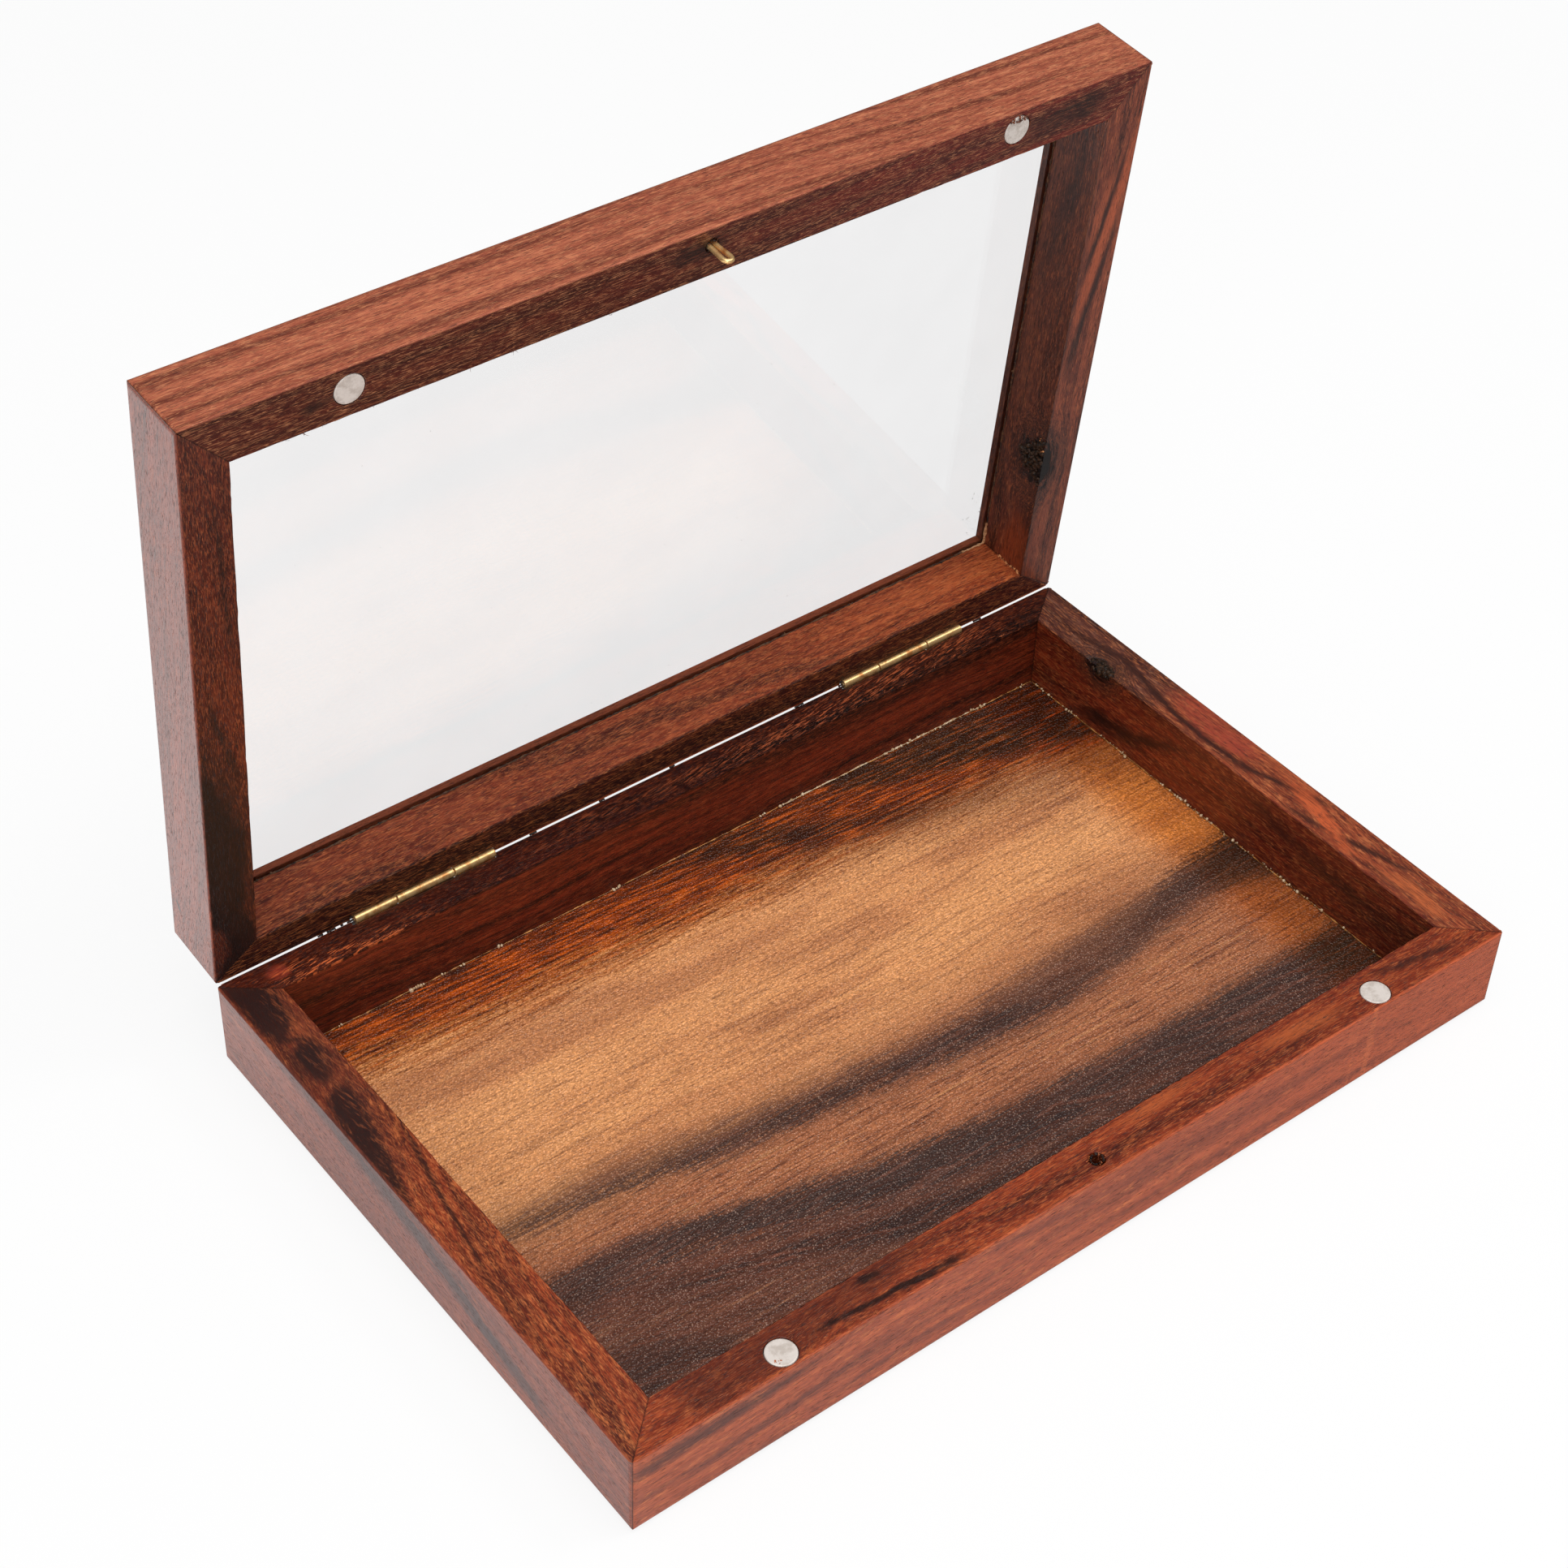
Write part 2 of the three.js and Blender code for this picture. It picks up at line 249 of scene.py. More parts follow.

# %% [markdown]
# The stage is a white table with nothing on it. What lights the box is a wide soft lamp overhead, two
# weaker ones from the front left and the right, and the light that the table throws back. In mirror
# images the table glows instead, and unevenly, as the photograph's walls show: strong beside the left
# end, weak at the right and behind. That glow is a painted reflection, which puts the sheen on the
# box's left faces. The camera, also through the pane, sees the table as plain white. A seventh of the
# true shading stays in, so the shadow is still there.

# %% Stage
def ways_seen(shader):
    """Two numbers: 1 where the camera looks, also through the pane, and 1 in a mirror image."""
    rays = shader.node("LightPath").socket.node.outputs
    mirrored = Number(shader, rays["Glossy Depth"]).math("GREATER_THAN", 0.5)
    bounced = Number(shader, rays["Diffuse Depth"]).math("GREATER_THAN", 0.5)
    straight = Number(shader, rays["Is Camera Ray"]).most(Number(shader, rays["Is Transmission Ray"]))
    return straight * (1 - mirrored) * (1 - bounced), mirrored * (1 - bounced)


TABLE_REACH, TABLE_LEVEL = 6.0, -0.0002
TABLE_WHITE = (0.82, 0.82, 0.82, 1)
PLAIN_WHITE = (1, 1, 1, 1)
SEEN_GLOW, MIRRORED_GLOW = 0.86, 0.95
SKY_MIRRORED, SKY_LIGHT = 0.10, 0.42
LAMPS = {
    # Place, aim, width and power
    "overhead": ((-0.1, -0.3, 1.3), (0, 0, 0.05), 1.1, 11.0),
    "front_left": ((-1.0, -0.9, 0.8), (0, 0, 0.06), 0.9, 6.0),
    "right_spot": ((0.64, -0.36, 1.05), (0.02, 0.06, 0.02), 0.36, 2.6),
}


def mirrored_table_glow(x, y, mirrored):
    """Painted reflection: how bright the table is in mirror images, beyond the left end and in the rest."""
    left = x.smooth(-0.09, -0.11) * y.smooth(0.03, 0.12, 1.35, 2.3)
    rest = x.smooth(-0.09, -0.11, 1.0, 0.0) * x.smooth(-0.09, 0.10, 1.0, 0.45)
    rest = rest * y.smooth(0.06, 0.09, 1.0, 0.15)
    return left * (1 - mirrored * 0.12) + rest * (1 - mirrored * 0.32)


def make_table():
    mesh = bpy.data.meshes.new("table_top")
    turns = ((-1, -1), (1, -1), (1, 1), (-1, 1))
    corners = [(TABLE_REACH * a, TABLE_REACH * b, TABLE_LEVEL) for a, b in turns]
    mesh.from_pydata(corners, [], [(0, 1, 2, 3)])
    shader = new_shader("white table")
    seen, mirrored = ways_seen(shader)
    cloth = shader.node("BsdfDiffuse", None, {"Color": TABLE_WHITE})
    x, y, z = shader.parts(shader.object_place())
    # In mirror images the table glows by place: a painted reflection.
    strength = seen + (1 - seen) * mirrored_table_glow(x, y, mirrored)
    glow = shader.node("Emission", None, {"Color": PLAIN_WHITE, "Strength": strength})
    share = (seen * SEEN_GLOW).most(mirrored * MIRRORED_GLOW)
    mixed = shader.node("MixShader", None, {0: share, 1: cloth, 2: glow})
    mesh.materials.append(shader.surface(mixed))
    in_scene("table_top", mesh)


def soft_lamp(name, place, aim, size, power):
    data = bpy.data.lights.new(name, "AREA")
    data.shape = "DISK"
    data.size = size
    data.energy = power
    lamp = in_scene(name, data)
    lamp.location = place
    lamp.rotation_euler = (Vector(aim) - Vector(place)).to_track_quat("-Z", "Y").to_euler()


make_table()
world = bpy.data.worlds.new("studio")
bpy.context.scene.world = world
sky = Shader(world)
seen, mirrored = ways_seen(sky)
strength = seen + mirrored * SKY_MIRRORED + (1 - seen.most(mirrored)) * SKY_LIGHT
sky.surface(sky.node("Background", None, {"Color": PLAIN_WHITE, "Strength": strength}), "OutputWorld")
for name, (place, aim, size, power) in LAMPS.items():
    soft_lamp(name, place, aim, size, power)

# %% [markdown]
# Every wooden piece reads its pattern from its place in the box, as real timber does: the figure runs
# through the solid and comes out on each face. One Mapping node turns the object's metres into the
# box's own millimetres, and for the lid it also turns the pattern with the open lid.

# %% Millimetres inside a shader
def box_millimetres(shader, half):
    back = PLACE[half].inverted()
    inputs = {
        "Vector": shader.object_place(),
        "Location": back.translation,
        "Rotation": back.to_quaternion().to_euler(),
        "Scale": (1000, 1000, 1000),
    }
    return shader.parts(shader.node("Mapping", {"vector_type": "POINT"}, inputs))


def runs_along(side):
    """The axis that a rail lies along: 0 for u, 1 for v."""
    return 0 if side in ("front", "back") else 1


def depth_and_run(side, u, v):
    """How far in from the outer face, and the way along the rail, of a point."""
    return {
        "front": (v, u),
        "back": (WIDTH - v, u),
        "left": (u, v),
        "right": (LENGTH - u, v),
    }[side]


def rail_sizes(half, side):
    """A rail's width and length, and the widths of the rails that it meets at its near and far end."""
    sizes = HALVES[half]
    if runs_along(side) == 0:
        return sizes[side], LENGTH, sizes["end"], sizes["end"]
    return sizes["end"], WIDTH, sizes["front"], sizes["back"]

# %% [markdown]
# A dark streak is a line that wanders along a rail and swells and thins as it goes. A colour ramp can
# hold such a line: its stops stand along the rail, and the three channels of each stop carry where the
# streak's middle is, how wide it is and how strong. It takes two more sums to have a soft mask.

# %% A streak along a line
def streak(shader, run, across, stops, span, soft=0.8, ragged=0.0):
    """stops are (place along, middle across, half width, strength), in millimetres."""
    reach = 140.0
    held = [(max(0.0, min(1.0, a / span)), (c / reach, w / reach, s)) for a, c, w, s in stops]
    ramp = shader.node("ValToRGB", {"stops": held}, {0: run / span})
    middle, half, strength = shader.parts(ramp)
    away = abs(across - middle * reach) + ragged
    return (half * reach - away).smooth(-soft, soft) * strength

# %% [markdown]
# The wood is a red-brown rosewood with a satin lacquer. Its figure has several sizes at once: broad
# bands a few millimetres wide, lines, fibres of a few tenths of a millimetre, patches, short pores and
# bright flecks. All are noise stretched along the grain. What the photograph shows at a definite place
# is laid over that as masks: a face that is darker than the next, black streaks, fibres that the saw
# lifted, and knots. Two masks are painted light: the paler lip behind the glass, and part of the lid's
# lighter left face. So each rail is its own piece of timber.

# %% Rosewood
KNOT_HALO, KNOT_CORE = rgb(38, 22, 20), rgb(8, 5, 5)
MITRE_GLUE = rgb(34, 17, 12)


def shaded(colour, factor):
    return tuple(c * factor for c in colour)


def rosewood(name, half, side, tones, seed, streaks=(), tints=(), torn=(), knots=(), tilt=0.3, width=1.0,
             contrast=1.0, slope=(), mottle=0.4, bend=1.0, shine=0.5):
    shader = new_shader(name)
    u, v, h = box_millimetres(shader, half)
    depth, run = depth_and_run(side, u, v)
    thick, span, near_width, far_width = rail_sizes(half, side)
    tall = HALVES[half]["height"]

    # The grain wanders, and bends round each knot.
    wander = (shader.grain(run * 0.014 + seed, depth * 0.03, h * 0.03, 2) * 10.0 - 5.0) * bend
    for (ku, kv, kh), reach, push in knots:
        kd, kr = depth_and_run(side, ku, kv)
        away = shader.vector((run - kr) / (reach * 3.0), (depth - kd) / (reach * 2), (h - kh) / (reach * 2))
        far = shader.node("VectorMath", {"operation": "LENGTH"}, {0: away}, 1)
        wander = wander + far.smooth(1.0, 0.0) * push
    rings = depth * math.sin(tilt) + h * math.cos(tilt) + wander
    for start, rate in slope:
        rings = rings + (run - start).most(0.0) * rate
    loose = depth * math.cos(tilt) - h * math.sin(tilt)

    # Broad figure, lines, fibres, hairs, patches and pores
    broad = shader.grain(run * 0.007, rings * 0.30 / width, loose * 0.05 + seed, 3, 0.62)
    lines = shader.grain(run * 0.03 + seed, rings * 1.5, loose * 0.9, 3, 0.62)
    fibre = shader.grain(run * 0.13, rings * 3.4 + seed, loose * 3.4, 3, 0.7)
    hair = shader.grain(run * 0.40 + seed, rings * 5.5, loose * 5.5, 2, 0.7)
    patch = shader.grain(run * 0.26 + seed, rings * 0.9, loose * 0.9, 3, 0.7)
    dash = shader.grain(run * 0.55, rings * 6.5, loose * 6.5 + seed, 1, 0.5)
    pores = dash.smooth(0.60, 0.70)
    flecks = shader.grain(run * 0.7 + seed, h * 4.2, depth * 4.2, 1, 0.5).smooth(0.63, 0.76)

    dark, mid, light, glow = (rgb(*tones[key]) for key in ("dark", "mid", "light", "fleck"))
    colour = shader.layers(
        shader.mix(broad.smooth(0.36, 0.50), dark, mid),
        (broad.smooth(0.50, 0.64), light),
        (lines.smooth(0.50, 0.68) * (0.70 * contrast), dark),
        (lines.smooth(0.48, 0.32) * (0.50 * contrast), light),
        (patch.smooth(0.52, 0.72) * mottle, glow),
        (patch.smooth(0.46, 0.30) * (mottle * 0.9), dark),
    )

    def mask_on(face, stops, soft, skin=False):
        """A streak's mask on one face. It fades into the wood, at once if only the skin takes it."""
        across = h if face in ("outer", "inner") else depth
        inward = {"top": tall - h, "meeting": h, "outer": depth, "inner": thick - depth}[face]
        near = inward.smooth(0.7, 0.2) if skin else inward.smooth(4.5, 1.5)
        if half == "lid" and face == "meeting":
            near = near * depth.smooth(0.1, 0.5)
        ragged = (lines - 0.5) * (soft * 3.0) + (fibre - 0.5) * (soft * 1.8) + (patch - 0.5) * (soft * 2.6)
        return streak(shader, run, across, stops, span, soft, ragged) * near

    # Tints where one face is lighter or darker, then the streaks where the photograph shows them
    for face, stops, factor in tints:
        colour = shader.mix(mask_on(face, stops, 1.2, True), colour, factor, "MULTIPLY")
    plain = 1.0
    for face, stops, shade, soft in streaks:
        mask = mask_on(face, stops, soft, face == "outer")
        colour = shader.mix(mask, colour, rgb(*shade))
        plain = (1 - mask) * plain
    knotty = None
    for (ku, kv, kh), reach, push in knots:
        away = shader.vector((u - ku) / reach, (v - kv) / (reach * 1.6), (h - kh) / (reach * 1.3))
        far = shader.node("VectorMath", {"operation": "LENGTH"}, {0: away}, 1) + (patch - 0.5) * 1.6
        core = far.smooth(0.85, 0.55)
        colour = shader.layers(colour, (far.smooth(1.9, 0.8) * 0.75, KNOT_HALO), (core, KNOT_CORE))
        knotty = core if knotty is None else knotty.most(core)
        plain = (1 - core) * plain

    # The fine fibres run through everything, dark and light by turns.
    colour = shader.layers(
        colour,
        (fibre.smooth(0.50, 0.68) * (0.60 * contrast), shaded(dark, 0.5)),
        (hair.smooth(0.50, 0.34) * (plain * 0.38), glow),
        (hair.smooth(0.52, 0.68) * 0.45, shaded(dark, 0.5)),
    )
    for face, stops, shade, lean in torn:
        across = h if face in ("outer", "inner") else depth
        along = run * math.cos(lean) + across * math.sin(lean)
        beside = across * math.cos(lean) - run * math.sin(lean)
        lifted = shader.grain(along * 0.32 + seed, beside * 3.0, seed, 2, 0.65)
        lifted = lifted.smooth(0.53, 0.64) * mask_on(face, stops, 1.6, True)
        colour = shader.mix(lifted * 0.7, colour, rgb(*shade))

    # The mitre is a thin dark line of glue and dust.
    joint = abs(run - depth * (near_width / thick))
    joint = joint.least(abs(span - depth * (far_width / thick) - run))
    joint = (joint + (fibre - 0.5) * 0.6).smooth(0.34, 0.10)
    colour = shader.layers(
        colour,
        (joint * 0.42, MITRE_GLUE),
        (flecks * 0.5 * plain, glow),
        (pores * 0.7, shaded(dark, 0.3)),
    )
    rough = 0.30 + lines * 0.08 + pores * 0.25 + patch * 0.06
    height = lines * 0.45 + fibre * 0.35 - pores * 0.9 - flecks * 0.3
    if knotty is not None:
        height = height - knotty * 2.5
        rough = rough + knotty * 0.10
    return shader.finish(colour, rough, Normal=shader.bump(height, 0.4, 0.00012), Specular_IOR_Level=shine)

# %% [markdown]
# Eight rails, eight cuts of timber. The tones are screen colours. A tint is a factor on one face's
# colour. Streaks and lifted fibres are read off the photograph: where each runs, how wide it is, and on
# which face it shows.

# %% The eight pieces of timber
WARM = {"dark": (84, 30, 16), "mid": (136, 54, 27), "light": (170, 80, 42), "fleck": (214, 126, 70)}
RED = {"dark": (74, 24, 12), "mid": (124, 45, 22), "light": (156, 66, 34), "fleck": (204, 112, 60)}
PALE = {"dark": (116, 54, 36), "mid": (166, 86, 58), "light": (190, 106, 72), "fleck": (222, 148, 100)}
DEEP = {"dark": (40, 11, 6), "mid": (88, 26, 10), "light": (120, 42, 20), "fleck": (150, 70, 36)}
PLUM = {"dark": (60, 22, 14), "mid": (114, 45, 26), "light": (148, 66, 38), "fleck": (188, 100, 56)}
BLACK = (18, 9, 7)
UMBER = (48, 20, 13)
WHOLE = ((0, 9, 20, 1), (205, 9, 20, 1))
WHOLE_HALF = ((0, 9, 20, 0.55), (205, 9, 20, 0.55))
TIMBER = {
    "base_front": dict(
        tones=RED, seed=3.1, tilt=0.6, slope=((30, 0.012),), width=0.8, contrast=0.65, mottle=0.5,
        shine=0.42,
        tints=(
            ("outer", WHOLE, (1.75, 2.1, 1.9)),
            ("outer", ((0, 9, 20, 1), (130, 9, 20, 1), (160, 9, 20, 0), (205, 9, 20, 0)),
             (0.90, 0.92, 0.92)),
            ("top", ((0, 4, 12, 0.6), (100, 4, 12, 1), (205, 4, 12, 1)), (0.86, 0.72, 0.55)),
        ),
        streaks=(
            ("outer", ((0, 9, 20, 0.4), (120, 9, 20, 0.45), (156, 9, 20, 0.75), (205, 9, 20, 0.85)),
             (190, 88, 50), 1.2),
            ("outer", ((0, 15.2, 1.0, 0.5), (4, 15.4, 1.6, 0.7), (14, 15.6, 1.7, 0.75), (26, 15.8, 1.3, 0.7),
                       (34, 16.2, 1.0, 0.6), (44, 16.4, 0.3, 0.0)), (66, 34, 28), 1.2),
            ("outer", ((2, 5.4, 0.2, 0), (14, 6.4, 0.9, 0.5), (34, 8.6, 0.8, 0.6), (48, 10.2, 0.8, 0.5),
                       (62, 10.4, 0.5, 0)), (96, 42, 32), 0.9),
            ("outer", ((36, 3.2, 0.3, 0), (50, 5.0, 0.7, 0.55), (66, 5.0, 0.7, 0.5), (84, 3.0, 0.4, 0)),
             (98, 44, 34), 0.9),
            ("outer", ((70, 18.4, 0.5, 0), (80, 17.2, 0.7, 0.6), (92, 14.8, 1.0, 0.5), (116, 13.2, 1.2, 0.5),
                       (150, 12.6, 1.2, 0.5), (200, 11.2, 0.8, 0)), (106, 46, 34), 1.2),
            ("outer", ((120, 4.4, 0.4, 0), (140, 4.2, 0.7, 0.5), (172, 3.8, 0.8, 0.55), (200, 3.0, 0.5, 0)),
             (104, 46, 34), 0.9),
            ("outer", ((165.0, 9.5, 0.1, 0), (165.3, 9.5, 13, 0.3), (166.0, 9.5, 13, 0.3),
                       (166.3, 9.5, 0.1, 0), (169.2, 9.5, 0.1, 0), (169.6, 9.5, 13, 0.6),
                       (170.8, 9.5, 13, 0.6), (171.2, 9.5, 0.1, 0)), (206, 104, 58), 0.8),
            ("top", ((9, 5.0, 1.5, 0), (16, 5.0, 4.0, 0.55), (40, 5.5, 4.0, 0.5), (60, 7.0, 2.6, 0.5),
                     (74, 8.5, 1.0, 0)), UMBER, 1.6),
            ("top", ((38, 3.6, 0.2, 0), (43, 3.2, 0.6, 0.9), (52, 2.6, 0.7, 0.9), (60, 2.0, 0.9, 0.95),
                     (68, 1.4, 0.9, 0.9), (74, 0.9, 0.3, 0)), BLACK, 0.6),
            ("top", ((51, 7.2, 0.2, 0), (53, 7.2, 0.9, 0.9), (56, 7.0, 0.7, 0.8), (58, 6.9, 0.2, 0)),
             BLACK, 0.5),
            ("top", ((108, 8.0, 0.3, 0), (118, 7.0, 1.2, 0.8), (128, 7.6, 0.8, 0.6), (134, 8, 0.2, 0)),
             (172, 84, 40), 0.9),
            ("top", ((142, 6.0, 0.5, 0), (150, 5.4, 1.4, 0.8), (160, 4.6, 1.6, 0.8), (168, 4.0, 0.8, 0)),
             (172, 84, 40), 1.0),
            ("top", ((174, 7.4, 0.4, 0), (182, 5.6, 1.0, 0.8), (192, 4.2, 0.9, 0.8), (199, 3.0, 0.3, 0)),
             UMBER, 0.9),
        ),
    ),
    "base_back": dict(
        tones=DEEP, seed=7.7, tilt=0.5, mottle=0.45, shine=0.36,
        tints=(("top", ((0, 4, 12, 0.5), (50, 4, 12, 1), (110, 4, 12, 1), (205, 4, 12, 0.8)),
                (0.18, 0.12, 0.2)),),
        torn=(
            ("top", ((8, 4.5, 1.0, 0), (12, 5.2, 2.4, 1.0), (24, 6.2, 2.2, 1.0), (36, 7.0, 1.5, 0.9),
                     (48, 7.4, 0.3, 0)), (244, 122, 64), -0.12),
            ("top", ((60, 4.4, 0.6, 0.0), (76, 3.0, 1.2, 0.6), (96, 3.6, 1.6, 0.5), (116, 4.6, 2.2, 0.8),
                     (140, 4.4, 2.6, 1), (176, 3.4, 2.6, 1), (196, 2.4, 1.0, 0)), (190, 96, 56), -0.16),
        ),
        streaks=(
            ("top", ((8.4, 3.2, 0.5, 0), (10, 3.2, 1.6, 0.9), (12.4, 3.4, 1.5, 0.9), (14, 3.6, 0.3, 0)),
             (146, 54, 36), 0.7),
        ),
    ),
    "base_left": dict(
        tones=WARM, seed=12.4, tilt=0.8, mottle=0.65, contrast=1.1, slope=((0, -0.12),), bend=0.6,
        shine=0.45,
        tints=(
            ("top", WHOLE, (0.96, 0.82, 0.72)),
            ("outer", ((36, 9, 20, 0), (56, 9, 20, 1), (84, 9, 20, 1), (104, 9, 20, 0)), (0.72, 0.66, 0.70)),
        ),
        torn=(("top", ((6, 5, 6, 0.5), (60, 5, 6, 0.5), (100, 8, 3, 0.4), (131, 8, 3, 0.4)),
               (188, 98, 54), -0.17),),
        streaks=(
            ("top", ((60, 0.0, 0.2, 0), (69, 0.4, 1.1, 0.85), (76, 1.2, 2.0, 0.95), (84, 2.3, 2.7, 1.0),
                     (91, 3.6, 3.2, 1.0), (95.0, 4.2, 2.6, 1.0), (98.0, 5.2, 0.2, 0.8),
                     (101, 4.4, 1.8, 0.95), (104, 4.7, 3.1, 1.0), (108, 5.0, 3.1, 1.0),
                     (110.5, 6.2, 1.2, 0.9), (112.5, 3.0, 1.0, 0.9), (115.5, 3.8, 3.2, 0.95),
                     (119, 4.2, 3.8, 1), (126, 4.0, 4.0, 1), (131, 4.0, 4.2, 0.9)), BLACK, 1.4),
            ("top", ((62, 1.0, 0.4, 0), (76, 3.0, 3.0, 0.4), (90, 4.4, 4.6, 0.5), (110, 5.0, 5.0, 0.5),
                     (131, 5.0, 5.0, 0.5)), (60, 32, 28), 1.8),
            ("outer", WHOLE_HALF, (146, 70, 50), 1.2),
            ("top", ((40, 2.0, 0.2, 0.0), (48, 3.2, 0.3, 0.8), (58, 5.0, 0.4, 0.9), (68, 6.6, 0.5, 0.9),
                     (77, 8.4, 0.5, 0.8), (85, 9.6, 0.3, 0)), UMBER, 0.4),
            ("top", ((24, 1.0, 0.2, 0.0), (36, 1.8, 0.5, 0.6), (50, 2.0, 0.5, 0.6), (62, 3.0, 0.3, 0)),
             UMBER, 0.5),
            ("outer", ((20, 5.5, 1.5, 0), (28, 6.6, 2.0, 0.8), (40, 8.6, 2.6, 0.9), (52, 12.2, 2.6, 0.9),
                       (64, 14.8, 2.4, 0.9), (80, 17.0, 2.0, 0.8), (100, 18.4, 1.6, 0.6),
                       (126, 18.8, 1.2, 0)), (66, 36, 32), 1.8),
        ),
    ),
    "base_right": dict(
        tones=WARM, seed=21.9, tilt=0.9, mottle=0.55, knots=(((195.6, 104.4, 18.8), 3.2, 7.0),),
        tints=(
            ("inner", WHOLE, (0.46, 0.22, 0.2)),
            ("top", ((84, 4.5, 1.0, 0), (92, 4.5, 8.0, 0.9), (131, 4.5, 8.0, 1)), (0.36, 0.56, 1.1)),
            ("top", WHOLE, (0.92, 0.95, 1.1)),
        ),
        streaks=(
            ("top", ((43, 0.8, 0.3, 0), (47.7, 2.1, 0.7, 0.85), (56, 4.6, 0.7, 0.9), (64, 7.0, 0.8, 0.9),
                     (72.7, 7.4, 0.8, 0.95), (84, 7.0, 0.8, 0.95), (95, 5.2, 0.9, 0.9),
                     (103.5, 3.6, 1.0, 0.85), (112, 4.8, 0.9, 0.8), (119, 6.8, 0.4, 0)), UMBER, 0.7),
            ("top", ((20, 1.2, 0.2, 0), (24, 2.6, 0.6, 0.8), (31, 4.4, 0.7, 0.9), (39, 6.7, 0.9, 0.9),
                     (48, 8.2, 0.7, 0.8), (53, 9.2, 0.2, 0)), UMBER, 0.7),
            ("top", ((62, 3.0, 0.3, 0), (68, 3.0, 2.4, 0.8), (76, 3.2, 2.8, 0.65), (84, 2.8, 2.4, 0.6),
                     (92, 2.0, 0.6, 0)), (160, 62, 44), 1.6),
            ("top", ((26, 6.2, 0.3, 0), (34, 7.6, 0.8, 0.7), (42, 5.4, 1.5, 0.9), (50, 3.6, 1.4, 0.8),
                     (58, 2.4, 0.4, 0)), (198, 90, 46), 0.9),
            ("top", ((8, 7.0, 0.4, 0), (12, 6.6, 1.6, 0.6), (20, 5.6, 1.4, 0.7), (28, 7.4, 0.6, 0)),
             (194, 100, 52), 1.1),
            ("inner", ((70, 18, 0.3, 0), (82, 13, 1.0, 0.8), (92, 8, 2.0, 0.9), (104, 6, 2.4, 0.9),
                       (114, 3, 0.6, 0)), (26, 9, 6), 1.6),
            ("inner", ((12, 9, 0.4, 0), (30, 12, 1.4, 0.6), (52, 14, 1.6, 0.7), (66, 16, 0.6, 0)),
             (34, 11, 7), 1.6),
        ),
    ),
    "lid_front": dict(
        tones=PALE, seed=33.5, tilt=0.7, width=0.62, contrast=0.5, bend=0.35, slope=((95, 0.05),),
        mottle=0.35, shine=0.34,
        tints=(
            ("outer", WHOLE, (0.84, 0.84, 0.97)),
            ("meeting", WHOLE, (0.135, 0.033, 0.025)),
            ("meeting", ((100, 4, 12, 0), (150, 4, 12, 1), (205, 4, 12, 1)), (1.9, 0.9, 0.75)),
        ),
        torn=(("meeting", WHOLE_HALF, (132, 66, 40), -0.03),),
        streaks=(
            ("meeting", ((20, 6.0, 0.3, 0), (24, 5.4, 1.0, 0.8), (29, 5.0, 0.6, 0.8), (33, 5.0, 0.2, 0)),
             BLACK, 0.6),
            ("meeting", ((92, 4.5, 0.3, 0), (97, 4.5, 1.6, 0.85), (104, 4.0, 1.6, 0.9), (109, 4, 0.3, 0)),
             BLACK, 0.9),
            ("meeting", ((168, 5.5, 0.5, 0), (180, 5.5, 2.2, 0.7), (190, 4.8, 2.6, 0.85), (199, 4, 0.6, 0)),
             BLACK, 1.2),
        ),
    ),
    "lid_back": dict(
        tones=WARM, seed=40.2, tilt=1.1, slope=((0, 0.03),), mottle=0.35, shine=0.36,
        tints=(
            ("inner", ((0, 7, 12, 1), (60, 7, 12, 1), (110, 7, 12, 0.5), (150, 7, 12, 0)),
             (0.66, 0.62, 0.85)),
            ("meeting", WHOLE, (0.10, 0.02, 0.06)),
        ),
        torn=(("inner", WHOLE_HALF, (178, 92, 54), 0.22),),
        # Painted light: the lip that shows through the glass is painted paler along its whole length, for
        # the light that falls on it from behind.
        streaks=(("inner", ((0, 15.0, 0.9, 0.8), (205, 15.0, 0.9, 0.8)), (170, 84, 52), 0.5),),
    ),
    "lid_left": dict(
        tones=PLUM, seed=47.8, tilt=0.6, mottle=0.6, slope=((0, -0.10),), bend=0.6, shine=0.45,
        tints=(
            # The outer face is lighter: partly its own tone, partly painted sheen from the bright table at
            # the left.
            ("outer", WHOLE, (1.25, 1.08, 1.0)),
            ("meeting", WHOLE, (0.33, 0.18, 0.16)),
        ),
        torn=(("meeting", ((4, 5, 6, 0.7), (66, 5, 6, 0.6), (80, 6, 3, 0.1), (131, 5, 6, 0.06)),
               (132, 62, 36), -0.12),),
        streaks=(
            ("outer", WHOLE_HALF, (130, 66, 50), 1.2),
            ("meeting", ((58, 1.0, 0.5, 0), (80, 3.6, 3.4, 0.5), (100, 4.6, 4.8, 0.6), (131, 4.6, 4.8, 0.6)),
             (40, 17, 12), 1.6),
            ("meeting", ((66, 0.4, 0.3, 0), (77, 0.8, 0.9, 0.9), (82, 1.6, 1.8, 0.97), (86, 2.3, 2.6, 1.0),
                         (90, 3.0, 3.4, 1.0), (95, 3.8, 4.2, 1.0), (104, 3.6, 3.9, 1.0),
                         (115, 3.4, 3.6, 1.0), (119, 6.0, 3.0, 0.9), (124, 6.4, 2.8, 0.9),
                         (131, 4.0, 4.4, 0.75)), (8, 5, 5), 1.0),
            ("meeting", ((56, 2.0, 0.3, 0), (66, 4.0, 0.6, 0.8), (76, 6.4, 0.7, 0.8), (84, 8.0, 0.4, 0)),
             BLACK, 0.5),
            ("meeting", ((14, 6.0, 0.2, 0), (24, 6.4, 0.4, 0.7), (44, 7.2, 0.5, 0.8), (60, 8.0, 0.3, 0)),
             BLACK, 0.5),
